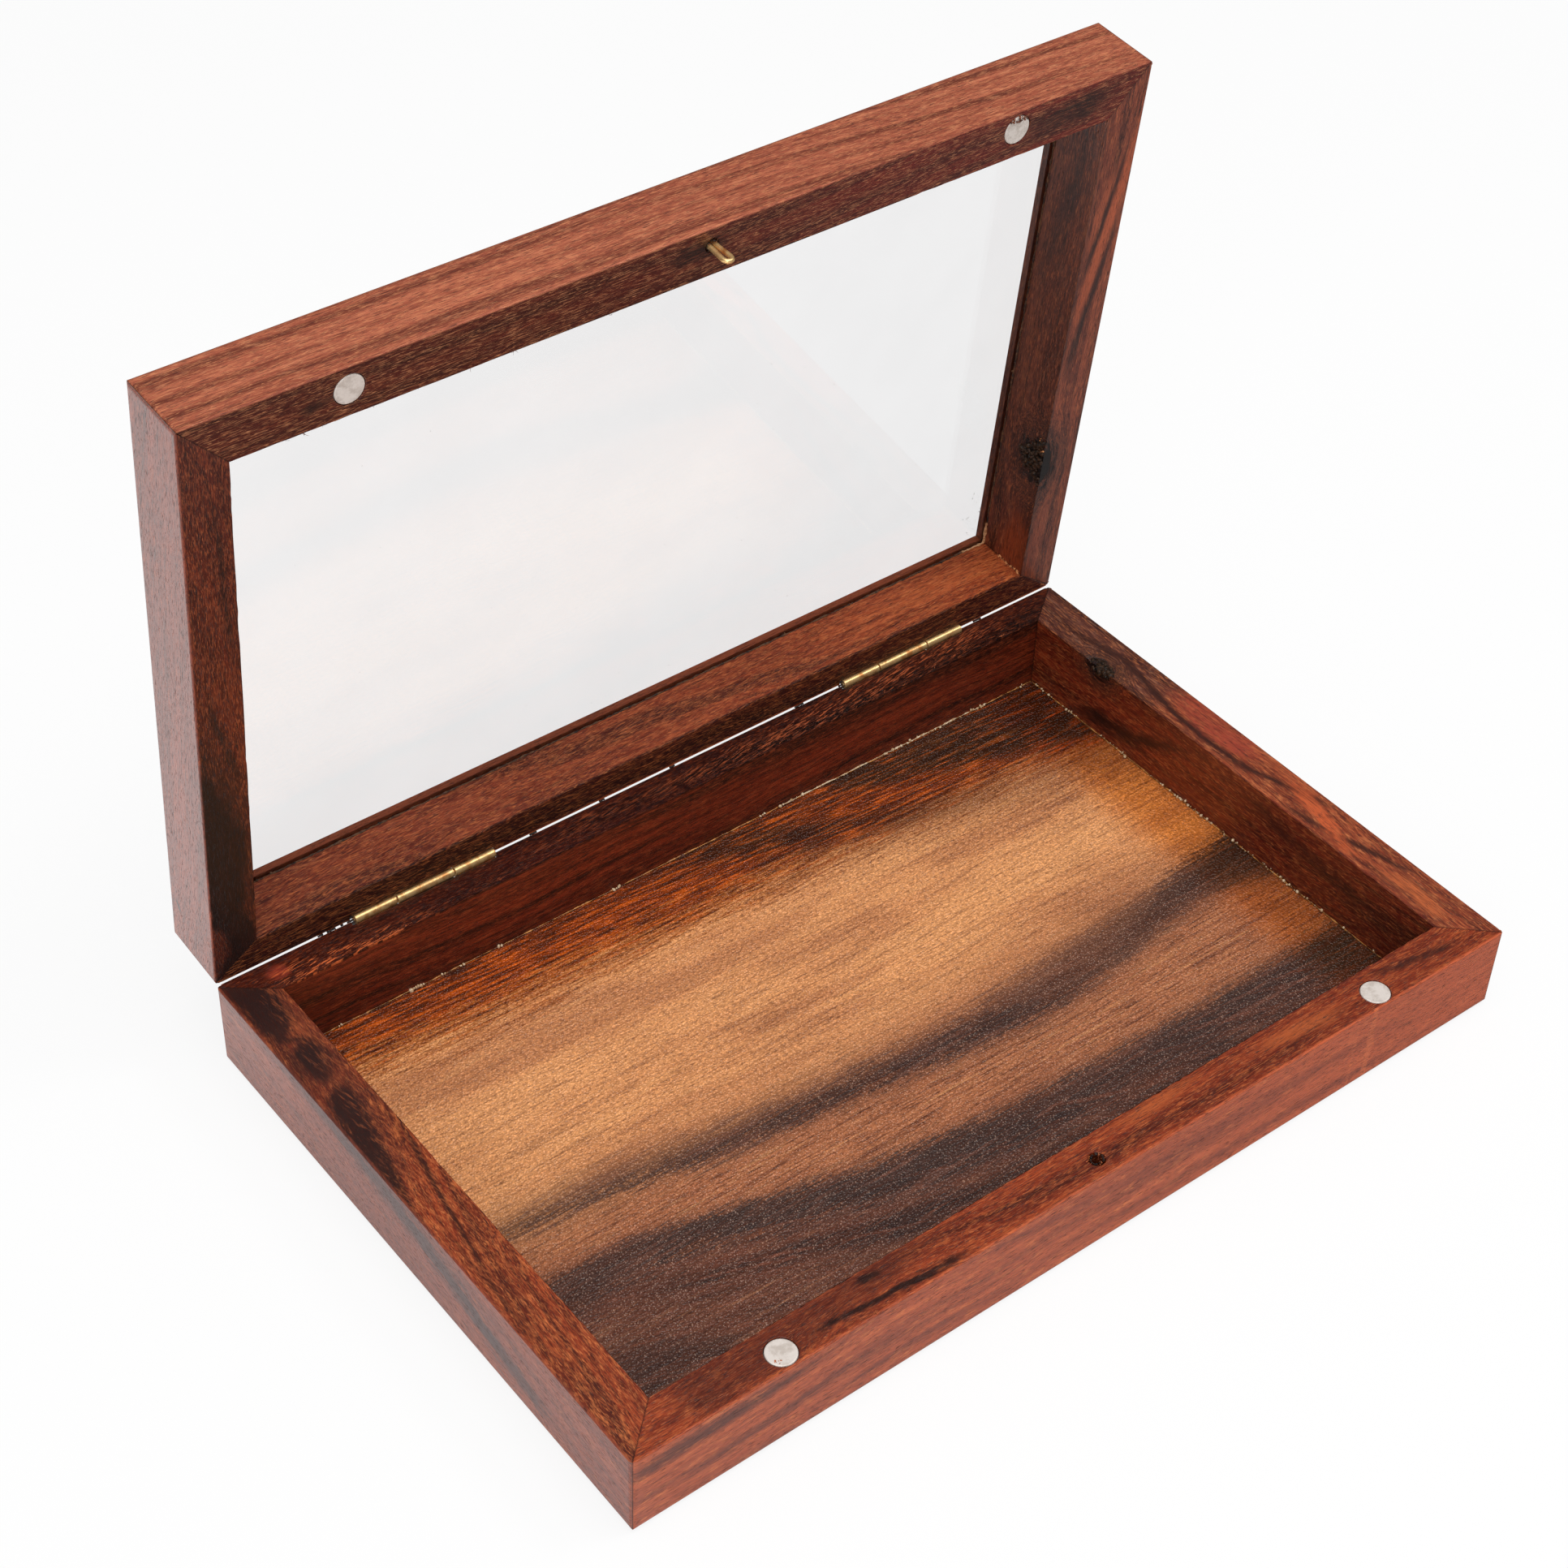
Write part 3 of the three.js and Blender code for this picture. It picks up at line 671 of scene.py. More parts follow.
            ("outer", ((119, 12.6, 0.1, 0), (120, 12.4, 0.5, 0.9), (121.6, 11.6, 0.5, 0.9),
                       (122.4, 11.2, 0.1, 0)), BLACK, 0.3),
        ),
    ),
    "lid_right": dict(
        tones=PLUM, seed=55.3, tilt=0.9, mottle=0.45, knots=(((195.4, 94.0, 1.0), 5.2, 8.0),),
        tints=(
            ("inner", ((7, 8, 12, 1), (108, 8, 12, 1), (118, 8, 12, 0.5), (131, 8, 12, 0.2)),
             (0.50, 0.66, 0.9)),
            ("meeting", ((0, 4, 12, 0.4), (80, 4, 12, 0.5), (131, 4, 12, 0.9)), (0.66, 0.8, 0.9)),
        ),
        streaks=(
            ("meeting", ((12, 0.6, 0.4, 0), (20, 1.2, 0.9, 0.8), (28, 2.2, 1.3, 0.9), (40, 4.4, 1.5, 0.9),
                         (52, 6.6, 1.3, 0.85), (62, 8.4, 0.5, 0)), (176, 82, 44), 0.8),
            ("meeting", ((18, 3.4, 0.4, 0), (26, 4.8, 1.0, 0.8), (34, 6.6, 1.1, 0.85), (44, 8.6, 0.6, 0)),
             (164, 78, 44), 0.8),
            ("meeting", ((16, 2.0, 0.2, 0), (22, 2.8, 0.5, 0.8), (32, 4.6, 0.6, 0.9), (42, 6.6, 0.7, 0.9),
                         (52, 8.4, 0.4, 0)), UMBER, 0.5),
            ("meeting", ((30, 0.4, 0.3, 0), (40, 2.0, 0.6, 0.8), (52, 4.2, 0.7, 0.9), (64, 6.6, 0.8, 0.9),
                         (76, 8.4, 0.5, 0)), UMBER, 0.6),
            ("inner", ((12, 3.0, 0.6, 0), (28, 5.6, 1.2, 0.6), (44, 8.4, 1.2, 0.6), (60, 11.0, 0.6, 0)),
             (34, 16, 14), 1.4),
            ("inner", ((106, 3, 0.6, 0), (113, 3.5, 3.0, 0.7), (124, 3.5, 3.4, 0.7)), (132, 54, 24), 1.6),
        ),
    ),
}
materials = {}
for key, timber in TIMBER.items():
    half, side = key.split("_")
    materials[key] = rosewood(key + " rosewood", half, side, **timber)
print("timber", len(materials))

# %% [markdown]
# The CAD rails have knife-sharp arrises and stop short of each other, to leave room for the glue. Real
# rails are eased by sandpaper and the glue fills the joint to a hair. So each rail is replaced by a
# finished copy: loose triangles merged, the mitre faces brought almost together, the box's corners
# rounded, and the outer arrises and the rims of the drilled holes bevelled. The inner arris that shows
# is nibbled, as a saw leaves it. At the hinges the edge stays sharp, and the seam there is a hair wide.

# %% Finished rails
def link(name, mesh, half, stands_for):
    """Puts a finished mesh into the scene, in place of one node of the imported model."""
    piece = in_scene(name, mesh)
    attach(piece, half)
    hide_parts(stands_for)
    return piece


def merged_copy(node, half):
    """A CAD node's mesh in the box's millimetres, with its triangles joined into whole faces."""
    work = bmesh.new()
    work.from_mesh(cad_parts[node].data)
    work.transform(PLACE[half].inverted())
    bmesh.ops.remove_doubles(work, verts=work.verts, dist=0.002)
    return work


def meets(a, b):
    """Whether two lengths in millimetres are the same, but for rounding."""
    return abs(a - b) < 0.02


def join_flat_faces(work, degrees=0.4):
    bmesh.ops.dissolve_limit(work, angle_limit=math.radians(degrees), verts=work.verts, edges=work.edges)


def soften(work, edges, offset, segments=2):
    edges = [e for e in edges if e.is_valid]
    if edges:
        bmesh.ops.bevel(work, geom=edges, offset=offset, segments=segments, profile=0.5,
                        affect="EDGES", clamp_overlap=False, loop_slide=True)


def refill_flat(work, level):
    """Lays the flat face at one height anew in triangles. One big face would be folded round its holes."""
    work.normal_update()
    flat = [f for f in work.faces if all(abs(p.co.z - level) < 0.004 for p in f.verts)]
    area = sum(f.calc_area() for f in flat)
    upwards = sum(f.normal.z * f.calc_area() for f in flat) > 0
    shared = [(e, sum(f in flat for f in e.link_faces)) for e in work.edges]
    rim = [e for e, count in shared if count == 1]
    inside = [e for e, count in shared if count == 2]
    bmesh.ops.delete(work, geom=flat, context="FACES_ONLY")
    bmesh.ops.delete(work, geom=inside, context="EDGES")
    made = bmesh.ops.triangle_fill(work, use_beauty=True, edges=rim, normal=(0, 0, 1))["geom"]
    work.normal_update()
    fresh = [f for f in made if isinstance(f, bmesh.types.BMFace)]
    print("flat face", round(area, 2), "square mm, laid anew", round(sum(f.calc_area() for f in fresh), 2))
    for face in fresh:
        if (face.normal.z > 0) != upwards:
            face.normal_flip()
        face.tag = True


BROAD_FACE = 2e-5


def mesh_from(work, name, half, material, smooth=35):
    """Moves a finished bmesh to its place in metres. Broad and tagged faces stay flat."""
    work.transform(PLACE[half])
    work.normal_update()
    for edge in work.edges:
        edge.smooth = edge.calc_face_angle(0) < math.radians(smooth)
    for face in work.faces:
        face.smooth = smooth > 0 and not face.tag and face.calc_area() < BROAD_FACE
    mesh = bpy.data.meshes.new(name)
    work.to_mesh(mesh)
    work.free()
    mesh.materials.clear()
    mesh.materials.append(material)
    return mesh


def even_normals(piece):
    even = piece.modifiers.new("even normals", "WEIGHTED_NORMAL")
    even.weight = 90
    even.keep_sharp = True


def sorted_edges(work, side, wide, tall, hinge_face):
    """The rail's outer arrises, its inner ones, and the rims of its holes, as three lists."""
    outer, inner, rims = [], [], []
    for edge in work.edges:
        if len(edge.link_faces) != 2 or edge.calc_face_angle(0) < 0.6:
            continue
        ends = [depth_and_run(side, p.co.x, p.co.y)[0] for p in edge.verts]
        heights = [p.co.z for p in edge.verts]
        if not any(all(meets(z, face) for z in heights) for face in (0, tall)):
            continue
        if all(meets(d, 0) for d in ends):
            if side != "back" or not meets(heights[0], hinge_face):
                outer.append(edge)
        elif all(meets(d, wide) for d in ends):
            inner.append(edge)
        elif edge.calc_length() < 1.0 and all(0.4 < d < wide - 0.2 for d in ends):
            rims.append(edge)
    return outer, inner, rims


INWARD = {"front": (0, 1), "back": (0, -1), "left": (1, 0), "right": (-1, 0)}


def fray(work, edges, side, chance, step=1.1, depth=0.12):
    """Nibbles at an inner arris, as a saw does: short steps, each a little further in or out."""
    axis, inward = runs_along(side), INWARD[side]
    for edge in edges:
        cuts = int(edge.calc_length() / step)
        if cuts < 2:
            continue
        made = bmesh.ops.subdivide_edges(work, edges=[edge], cuts=cuts)["geom_inner"]
        points = sorted((g for g in made if isinstance(g, bmesh.types.BMVert)), key=lambda p: p.co[axis])
        for point in points:
            pull = chance.uniform(-0.3, 1.0) * depth * (2.2 if chance.random() < 0.07 else 1.0)
            point.co.x -= inward[0] * pull
            point.co.y -= inward[1] * pull
            point.co[axis] += chance.uniform(-0.3, 0.3) * step


ROUNDING = {("base", "left", "front"): 0.7, ("lid", "left", "front"): 1.0}


def rounding(half, side, end):
    """The radius of the box's own corner at one end of a rail."""
    corner = (end, side) if runs_along(side) == 0 else (side, end)
    return ROUNDING.get((half, *corner), 1.5)


def cut_near_end(work, side, radius, span, at_far_end):
    """Cuts all faces across at two places near one end of a rail, so that the end can be rounded."""
    axis = runs_along(side)
    for near in (radius / 2, radius):
        spot, way = Vector((0, 0, 0)), Vector((0, 0, 0))
        spot[axis], way[axis] = span - near if at_far_end else near, 1.0
        everything = work.verts[:] + work.edges[:] + work.faces[:]
        bmesh.ops.bisect_plane(work, geom=everything, dist=1e-5, plane_co=spot, plane_no=way)


def round_end(work, side, radius, ratio, span, at_far_end):
    """Draws the outer face in towards the mitre, in an arc. The next rail has the other half of it."""
    axis, inward = runs_along(side), INWARD[side]
    for vertex in work.verts:
        depth, run = depth_and_run(side, vertex.co.x, vertex.co.y)
        far = span - run if at_far_end else run
        if far > radius or depth > 0.01:
            continue
        angle = math.radians(45) * (1 - far / radius)
        sink = radius * (1 - math.cos(angle))
        along = max(radius * (1 - math.sin(angle)), (depth + sink) * ratio + 0.03)
        vertex.co[axis] += (far - along) if at_far_end else (along - far)
        vertex.co.x += inward[0] * sink
        vertex.co.y += inward[1] * sink


def close_mitres(work, half, side, cad_gap=0.15, gain=0.12):
    """Moves both mitre faces outwards, so that a hair is left of the gap for the glue."""
    wide, span, near, far = rail_sizes(half, side)
    for vertex in work.verts:
        depth, run = depth_and_run(side, vertex.co.x, vertex.co.y)
        for gap, way in ((run - depth / wide * near, -1), (span - depth / wide * far - run, 1)):
            if meets(gap, cad_gap):
                vertex.co[runs_along(side)] += way * gain


def narrow_seam(work, half, hinge_face):
    """Brings the back edges of base and lid nearer to each other, where the lid turns."""
    axis, step = (1, 0.12) if half == "base" else (2, -0.10)
    for vertex in work.verts:
        if meets(vertex.co.y, WIDTH) and meets(vertex.co.z, hinge_face):
            vertex.co[axis] += step


def finish_rail(half, side, ease=0.24, rim=0.1):
    """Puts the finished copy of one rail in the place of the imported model's."""
    wide, span, near, far = rail_sizes(half, side)
    tall = HALVES[half]["height"]
    hinge_face = tall if half == "base" else 0.0
    node = f"{half}_{side}_rail"
    work = merged_copy(node, half)
    close_mitres(work, half, side)
    if side == "back":
        narrow_seam(work, half, hinge_face)
    join_flat_faces(work, 1.2)
    corners = ("left", "right") if runs_along(side) == 0 else ("front", "back")
    ends = [
        (rounding(half, side, corners[0]), near / wide, False),
        (rounding(half, side, corners[1]), far / wide, True),
    ]
    for radius, ratio, at_far_end in ends:
        cut_near_end(work, side, radius, span, at_far_end)
    outer, inner, rims = sorted_edges(work, side, wide, tall, hinge_face)
    for radius, ratio, at_far_end in ends:
        round_end(work, side, radius, ratio, span, at_far_end)
    work.normal_update()
    soften(work, rims, rim, 1)
    soften(work, outer, ease, 3)
    seen = [e for e in inner if e.is_valid and meets(e.verts[0].co.z, hinge_face)]
    fray(work, seen, side, random.Random(node))
    bmesh.ops.remove_doubles(work, verts=work.verts, dist=0.01)
    bmesh.ops.dissolve_degenerate(work, dist=0.002, edges=work.edges)
    for face in work.faces:
        face.tag = False
    if side == "front":
        refill_flat(work, hinge_face)
    mesh = mesh_from(work, node + "_timber", half, materials[f"{half}_{side}"])
    even_normals(link(node + "_timber", mesh, half, node))
    print(node, "arrises", len(outer), len(inner), "rims", len(rims), "faces", len(mesh.polygons))


for half in HALVES:
    for side in INWARD:
        finish_rail(half, side)

# %% [markdown]
# The floor of the well is a printed sheet with a pebbled satin face, the kind sold as wood-grain
# laminate. The print has a golden middle and long near-black bands. The bands use the same streak
# mask as the rails, broken up at their edges by the print's own fine lines. The pebbles are cells about
# four tenths of a millimetre across, raised in the bump, with painted shade in their creases and
# painted glints on top. Beside the right wall and the back wall the sheet gets painted shade as well.

# %% Printed floor sheet
BANDS = (
    # Band A leaves the back wall in the middle and fades out to the right.
    (((84, 126, 0.8, 0), (94, 125, 2.4, 0.6), (104, 122.5, 3.6, 0.75), (116, 118.0, 4.0, 0.9),
      (128, 113.6, 3.4, 0.8), (141, 109.4, 2.8, 0.6), (156, 103.5, 2.2, 0.3), (168, 99, 1, 0)),
     (32, 14, 9), 1.9, 1.5),
    # Band B and the dark corner beyond it
    (((132, 126.5, 1.5, 0), (140, 123.6, 3.4, 0.9), (150, 119.8, 4.4, 0.95), (160, 117.8, 4.4, 0.95),
      (172, 114.6, 4.8, 0.95), (185, 110.2, 5.0, 0.97), (195.2, 107.4, 5.4, 0.97)), (42, 27, 22), 1.9, 1.0),
    (((146, 126.0, 1.5, 0), (154, 124.6, 3.6, 0.75), (170, 123.0, 5.0, 0.85), (184, 120.6, 6.0, 0.85),
      (195.2, 117.0, 8.0, 0.9)), (46, 26, 20), 1.6, 1.0),
    # Band C, across the middle: a hatched part, and a darker core that leaves it at the left
    (((9.8, 64.6, 2.2, 0.4), (17, 64.3, 2.6, 0.5), (40, 62.5, 3.2, 0.62), (57, 59.2, 3.6, 0.66),
      (81, 55.6, 3.6, 0.7), (105, 53.0, 3.8, 0.75), (123, 51.4, 4.8, 0.78), (141, 52.3, 5.6, 0.75),
      (165, 55.3, 5.0, 0.75), (182, 57.2, 5.0, 0.85), (195.2, 56.0, 7.0, 0.95)), (74, 51, 45), 2.6, 1.5),
    (((9.8, 63.4, 0.8, 0.6), (17, 63.1, 1.0, 0.7), (40, 60.1, 1.3, 0.75), (57, 57.1, 1.6, 0.8),
      (81, 54.2, 2.0, 0.85), (105, 52.0, 2.2, 0.85), (123, 50.6, 2.4, 0.85), (135, 48.6, 1.8, 0.7),
      (150, 49.5, 1.5, 0.4), (176, 57.0, 3.0, 0.6), (195.2, 58.0, 5.0, 0.9)), (50, 38, 36), 1.7, 1.2),
    # Band D, the broadest
    (((9.8, 46.0, 4.4, 0.95), (17, 45.8, 4.6, 0.97), (34, 45.4, 4.0, 0.97), (46, 42.8, 3.8, 0.97),
      (63, 37.4, 4.4, 0.97), (81, 32.6, 4.6, 0.97), (105, 29.0, 5.0, 0.97), (129, 27.4, 4.6, 0.96),
      (160, 26.4, 4.4, 0.95), (195.2, 26.4, 5.2, 0.97)), (58, 45, 42), 1.8, 1.1),
    # A dark streak that leaves band D downwards, and the dark corners it runs between
    (((24, 38.5, 0.6, 0), (36, 35.5, 1.6, 0.8), (50, 31.4, 1.8, 0.85), (63, 27.2, 2.2, 0.9),
      (81, 21.4, 3.4, 0.9), (96, 18.6, 3.2, 0.85), (130, 17.6, 3.0, 0.7), (195.2, 17.6, 3.0, 0.7)),
     (44, 33, 32), 1.8, 1.2),
    (((9.8, 25.0, 7.0, 0.7), (22, 23.0, 6.0, 0.7), (34, 19.0, 4.0, 0.6), (44, 16.0, 2.0, 0)),
     (46, 35, 33), 2.2, 1.4),
)
BELOW_D = ((9.8, 12, 33, 1), (34, 12, 31, 1), (50, 12, 27, 1), (70, 12, 22, 1), (90, 12, 18, 1),
           (130, 12, 16, 1), (160, 12, 15, 1), (195.2, 12, 15, 1))


def printed_sheet():
    shader = new_shader("printed sheet")
    u, v, h = box_millimetres(shader, "base")
    drift = shader.grain(u * 0.012, v * 0.05, 4.0, 2) * 6.0 - 3.0
    w = v + drift
    cloud = shader.grain(u * 0.014, w * 0.09, 1.5, 4, 0.62)
    veins = shader.grain(u * 0.04, w * 0.85, 8.0, 3, 0.66)
    hair = shader.grain(u * 0.10, (v + drift * 0.3) * 2.7, 2.0, 4, 0.72)
    spot = shader.grain(u * 1.1, v * 1.1, 5.0, 2, 0.6)
    inputs = {"Vector": shader.vector(u + spot * 0.5, v + spot * 0.5, 9.0), "Scale": 2.3, "Smoothness": 0.5}
    cells = shader.node("TexVoronoi", {"feature": "SMOOTH_F1"}, inputs).socket.node.outputs
    pebble = Number(shader, cells["Distance"]).smooth(0.62, 0.12)
    grain = shader.parts(Number(shader, cells["Color"]))[0]
    grit = shader.grain(u * 1.0, v * 2.1, 6.0, 2, 0.62)
    ragged = (veins - 0.5) * 13.0 + (hair - 0.5) * 22.0 + (grit - 0.5) * 8.0 + (grain - 0.5) * 2.4

    # The ground: gold in the middle, tan towards the front, red-brown along the back, with painted shade
    # at the foot of the back wall. The orange at the right is painted shade too, laid on further down.
    slope = (u - 60.0) * 0.055
    back = (v + slope + (cloud - 0.5) * 12.0 + ragged * 0.9).smooth(103.0, 116.0)
    fade = ((v - 114.0) + (u - 98.0) * 0.22 + ragged).smooth(-14.0, 4.0) * u.smooth(80.0, 118.0)
    below = streak(shader, u, v, BELOW_D, LENGTH, 2.2, ragged * 0.7)
    colour = shader.layers(
        shader.mix(cloud.smooth(0.38, 0.66) * 0.75, rgb(246, 170, 108), rgb(216, 138, 86)),
        ((v + ragged * 0.8).smooth(72.0, 52.0) * 0.9, rgb(176, 104, 68)),
        (back * 0.94, rgb(150, 56, 2)),
        # Painted shade at the foot of the back wall
        ((v + ragged * 0.4).smooth(118.0, 124.0) * 0.75, rgb(74, 24, 4)),
        (fade * 0.66, rgb(110, 44, 20)),
        (below, rgb(112, 66, 50)),
    )

    # Dark bands, each broken up at its edges by veins, hairs and the pebbles themselves
    plain = 1 - below * 0.5
    for stops, shade, soft, broken in BANDS:
        mask = streak(shader, u, v + drift * 0.15, stops, LENGTH, soft, ragged * (broken * 0.6))
        colour = shader.mix(mask, colour, rgb(*shade))
        plain = plain * (1 - mask)

    # Streaks that slope down to the right in the lower left corner, and the print's own fine lines.
    # Paler and darker lines run on through the bands, and coarser ones through the red-brown back.
    lean = v + (u - 40.0) * 0.36
    slant = shader.grain(u * 0.03, lean * 0.55, 3.0, 3, 0.65)
    lined = v.smooth(100.0, 84.0) * 0.18 + v.smooth(64.0, 54.0) * 0.32 + 0.20
    strong = v.smooth(102.0, 84.0) * 0.30 + v.smooth(64.0, 54.0) * 0.38 + 0.20
    hatch = shader.grain(u * 0.10, (v + slope) * 1.5, 12.0, 3, 0.6)
    dark = 1 - plain
    colour = shader.layers(
        colour,
        (slant.smooth(0.52, 0.66) * below * 0.55, rgb(136, 76, 54)),
        (slant.smooth(0.48, 0.36) * below * 0.6, rgb(46, 34, 33)),
        (cloud.smooth(0.50, 0.66) * 0.22, rgb(128, 74, 54)),
        (veins.smooth(0.51, 0.68) * lined, rgb(112, 62, 42)),
        (veins.smooth(0.46, 0.28) * (1 - back * 0.8) * (plain * 0.45), rgb(240, 172, 110)),
        (hair.smooth(0.50, 0.66) * strong, rgb(88, 46, 30)),
        (hair.smooth(0.47, 0.30) * (1 - back * 0.6) * (plain * 0.45), rgb(236, 170, 114)),
        (hair.smooth(0.49, 0.60) * back * 0.35, rgb(66, 24, 8)),
        (hair.smooth(0.46, 0.36) * back * plain * 0.5, rgb(206, 92, 26)),
        (veins.smooth(0.49, 0.36) * dark * 0.36, rgb(150, 92, 70)),
        (veins.smooth(0.51, 0.62) * dark * 0.42, rgb(32, 21, 20)),
        (hatch.smooth(0.50, 0.60) * back * 0.72, rgb(42, 15, 7)),
        (hatch.smooth(0.48, 0.38) * back * (plain * 0.5 + 0.22), rgb(232, 116, 40)),
    )

    # Painted light on the embossed pebbles: painted shade in their creases, painted glints on their
    # tops, and a speckle of paler and darker spots that partly stands in for glints.
    colour = shader.mix(pebble.smooth(0.45, 0.05) * 0.30, colour, rgb(46, 26, 20))
    colour = shader.layers(
        colour,
        (grit.smooth(0.50, 0.68) * 0.75, (0.50, 0.46, 0.46)),
        (grit.smooth(0.50, 0.32) * 0.75, (1.42, 1.42, 1.40)),
        # Painted shade: beside the right wall and along the back the sheet mirrors the dark walls, not the
        # white room, so it is made darker and more orange there.
        (u.smooth(176.0, 187.0), (0.93, 0.67, 0.33)),
        (back, (1.0, 0.80, 0.26)),
        blend="MULTIPLY",
    )
    # Painted glints on the pebbles' tops, fewer beside the right wall
    painted_glint = pebble.smooth(0.5, 0.95) * grain.smooth(0.45, 0.85) * u.smooth(185.0, 180.0, 0.2, 1.0)
    colour = shader.mix(painted_glint * (1 - back * 0.7) * 0.30, colour, rgb(226, 190, 166))
    normal = shader.bump(pebble + spot * 0.4, 0.9, 0.00014)
    return shader.finish(colour, 0.27 + spot * 0.12, Normal=normal)

# %% [markdown]
# A sheet laid in by hand is never dead flat. This one is a fine grid that waves by a few hundredths of
# a millimetre, enough to break up its sheen, with a thin edge all round.

# %% Floor sheet
COLUMNS, ROWS = 124, 76
WAVE = 0.05


def sheet_wave(u, v):
    """How far the sheet sags at a place, in millimetres."""
    wave = math.sin(u * 0.11 + 1.3 * math.sin(v * 0.07)) * math.cos(v * 0.13 + 0.6)
    return WAVE * (0.5 + 0.5 * wave)


def make_floor_sheet():
    low, high = (Vector(corner) * 1000 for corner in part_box("floor_sheet"))
    start = (low.x + LENGTH / 2, low.y + WIDTH / 2)
    size = (high.x - low.x, high.y - low.y)
    work = bmesh.new()
    top, bottom = [], []
    for row in range(ROWS + 1):
        for column in range(COLUMNS + 1):
            u, v = start[0] + size[0] * column / COLUMNS, start[1] + size[1] * row / ROWS
            top.append(work.verts.new((u, v, high.z - sheet_wave(u, v))))
            at_rim = row in (0, ROWS) or column in (0, COLUMNS)
            bottom.append(work.verts.new((u, v, low.z)) if at_rim else None)
    wide = COLUMNS + 1
    for i in (row * wide + column for row in range(ROWS) for column in range(COLUMNS)):
        work.faces.new((top[i], top[i + 1], top[i + wide + 1], top[i + wide]))
    rim = list(range(wide))
    rim += [row * wide + COLUMNS for row in range(1, ROWS + 1)]
    rim += [ROWS * wide + i for i in range(COLUMNS - 1, -1, -1)]
    rim += [row * wide for row in range(ROWS - 1, 0, -1)]
    for a, b in zip(rim, rim[1:] + rim[:1]):
        work.faces.new((top[b], top[a], bottom[a], bottom[b]))
    work.faces.new([bottom[i] for i in reversed(rim)])
    mesh = mesh_from(work, "floor_sheet_printed", "base", printed_sheet())
    link(mesh.name, mesh, "base", "floor_sheet")
    print("floor sheet faces", len(mesh.polygons))


make_floor_sheet()

# %% [markdown]
# The thin board under the sheet shows only from below. It is raw, paler wood with coarse fibres.

# %% Floor board
def raw_board():
    shader = new_shader("raw board")
    u, v, h = box_millimetres(shader, "base")
    broad = shader.grain(u * 0.01, v * 0.09, 3.0, 3, 0.6)
    lines = shader.grain(u * 0.05, v * 1.3, h * 1.3, 3, 0.65)
    colour = shader.mix(broad.smooth(0.35, 0.65), rgb(168, 130, 88), rgb(190, 154, 108))
    colour = shader.mix(lines.smooth(0.5, 0.75) * 0.5, colour, rgb(120, 86, 54))
    return shader.finish(colour, 0.75 + lines * 0.15, Normal=shader.bump(lines, 0.5, 0.0002))


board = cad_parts["floor_board"].data
board.materials.clear()
board.materials.append(raw_board())
print("board done")

# %% [markdown]
# The pane is ordinary float glass. Its tint is all but even: what shows is the white table through it
# and the base mirrored in it. Its own thickness bends the light as real glass does.

# %% Glass
def clear_glass():
    shader = new_shader("float glass")
    u, v, h = box_millimetres(shader, "lid")
    smear = shader.grain(u * 0.05, v * 0.05, h * 0.05, 3, 0.6)
    colour = shader.mix(smear.smooth(0.3, 0.7), (0.952, 0.948, 0.950), (0.972, 0.968, 0.970))
    return shader.finish(colour, 0.0, IOR=1.5, Transmission_Weight=1.0)


work = merged_copy("glass_pane", "lid")
join_flat_faces(work)
soften(work, list(work.edges), 0.12, 1)
mesh = mesh_from(work, "glass_pane_clear", "lid", clear_glass(), 0)
link(mesh.name, mesh, "lid", "glass_pane")
print("pane faces", len(mesh.polygons))

# %% [markdown]
# Magnets, hinges and the wire catch are small bright metal. Brass gets slow changes of tone, a little
# tarnish and fine scratches; nickel is greyer and duller.

# %% Metals
def metal(name, half, bright, dull, rough, scratched, seed, shine):
    """scratched is how fast the scratches change along u, v and h."""
    shader = new_shader(name)
    u, v, h = box_millimetres(shader, half)
    cloud = shader.grain(u * 0.5 + seed, v * 0.5, h * 0.5, 3, 0.6)
    scratch = shader.grain(u * scratched[0] + seed, v * scratched[1], h * scratched[2], 2, 0.6)
    colour = shader.mix(cloud.smooth(0.40, 0.70), rgb(*bright), rgb(*dull))
    rough = rough + cloud * 0.15 + scratch.smooth(0.6, 0.8) * 0.1
    normal = shader.bump(scratch + cloud, 0.12, 0.00005)
    return shader.finish(colour, rough, Metallic=shine, Normal=normal)


ROLLED, STAMPED = (0.35, 9.0, 9.0), (6.0, 2.0, 2.0)
brass = {}
nickel = {}
for half in HALVES:
    brass[half] = metal(half + " brass", half, (255, 214, 150), (206, 142, 82), 0.30, ROLLED, 3.0, 0.82)
    nickel[half] = metal(half + " nickel", half, (232, 222, 214), (204, 192, 182), 0.45, STAMPED, 9.0, 0.35)

MAGNET_FACE = {"base": 19.05, "lid": 0.05}
for half in HALVES:
    for side in ("left", "right"):
        node = f"{half}_magnet_{side}"
        work = merged_copy(node, half)
        join_flat_faces(work)
        rim = [e for e in work.edges if all(abs(p.co.z - MAGNET_FACE[half]) < 0.01 for p in e.verts)]
        soften(work, rim, 0.22, 3)
        mesh = mesh_from(work, node + "_disc", half, nickel[half])
        even_normals(link(mesh.name, mesh, half, node))
print("magnets done")

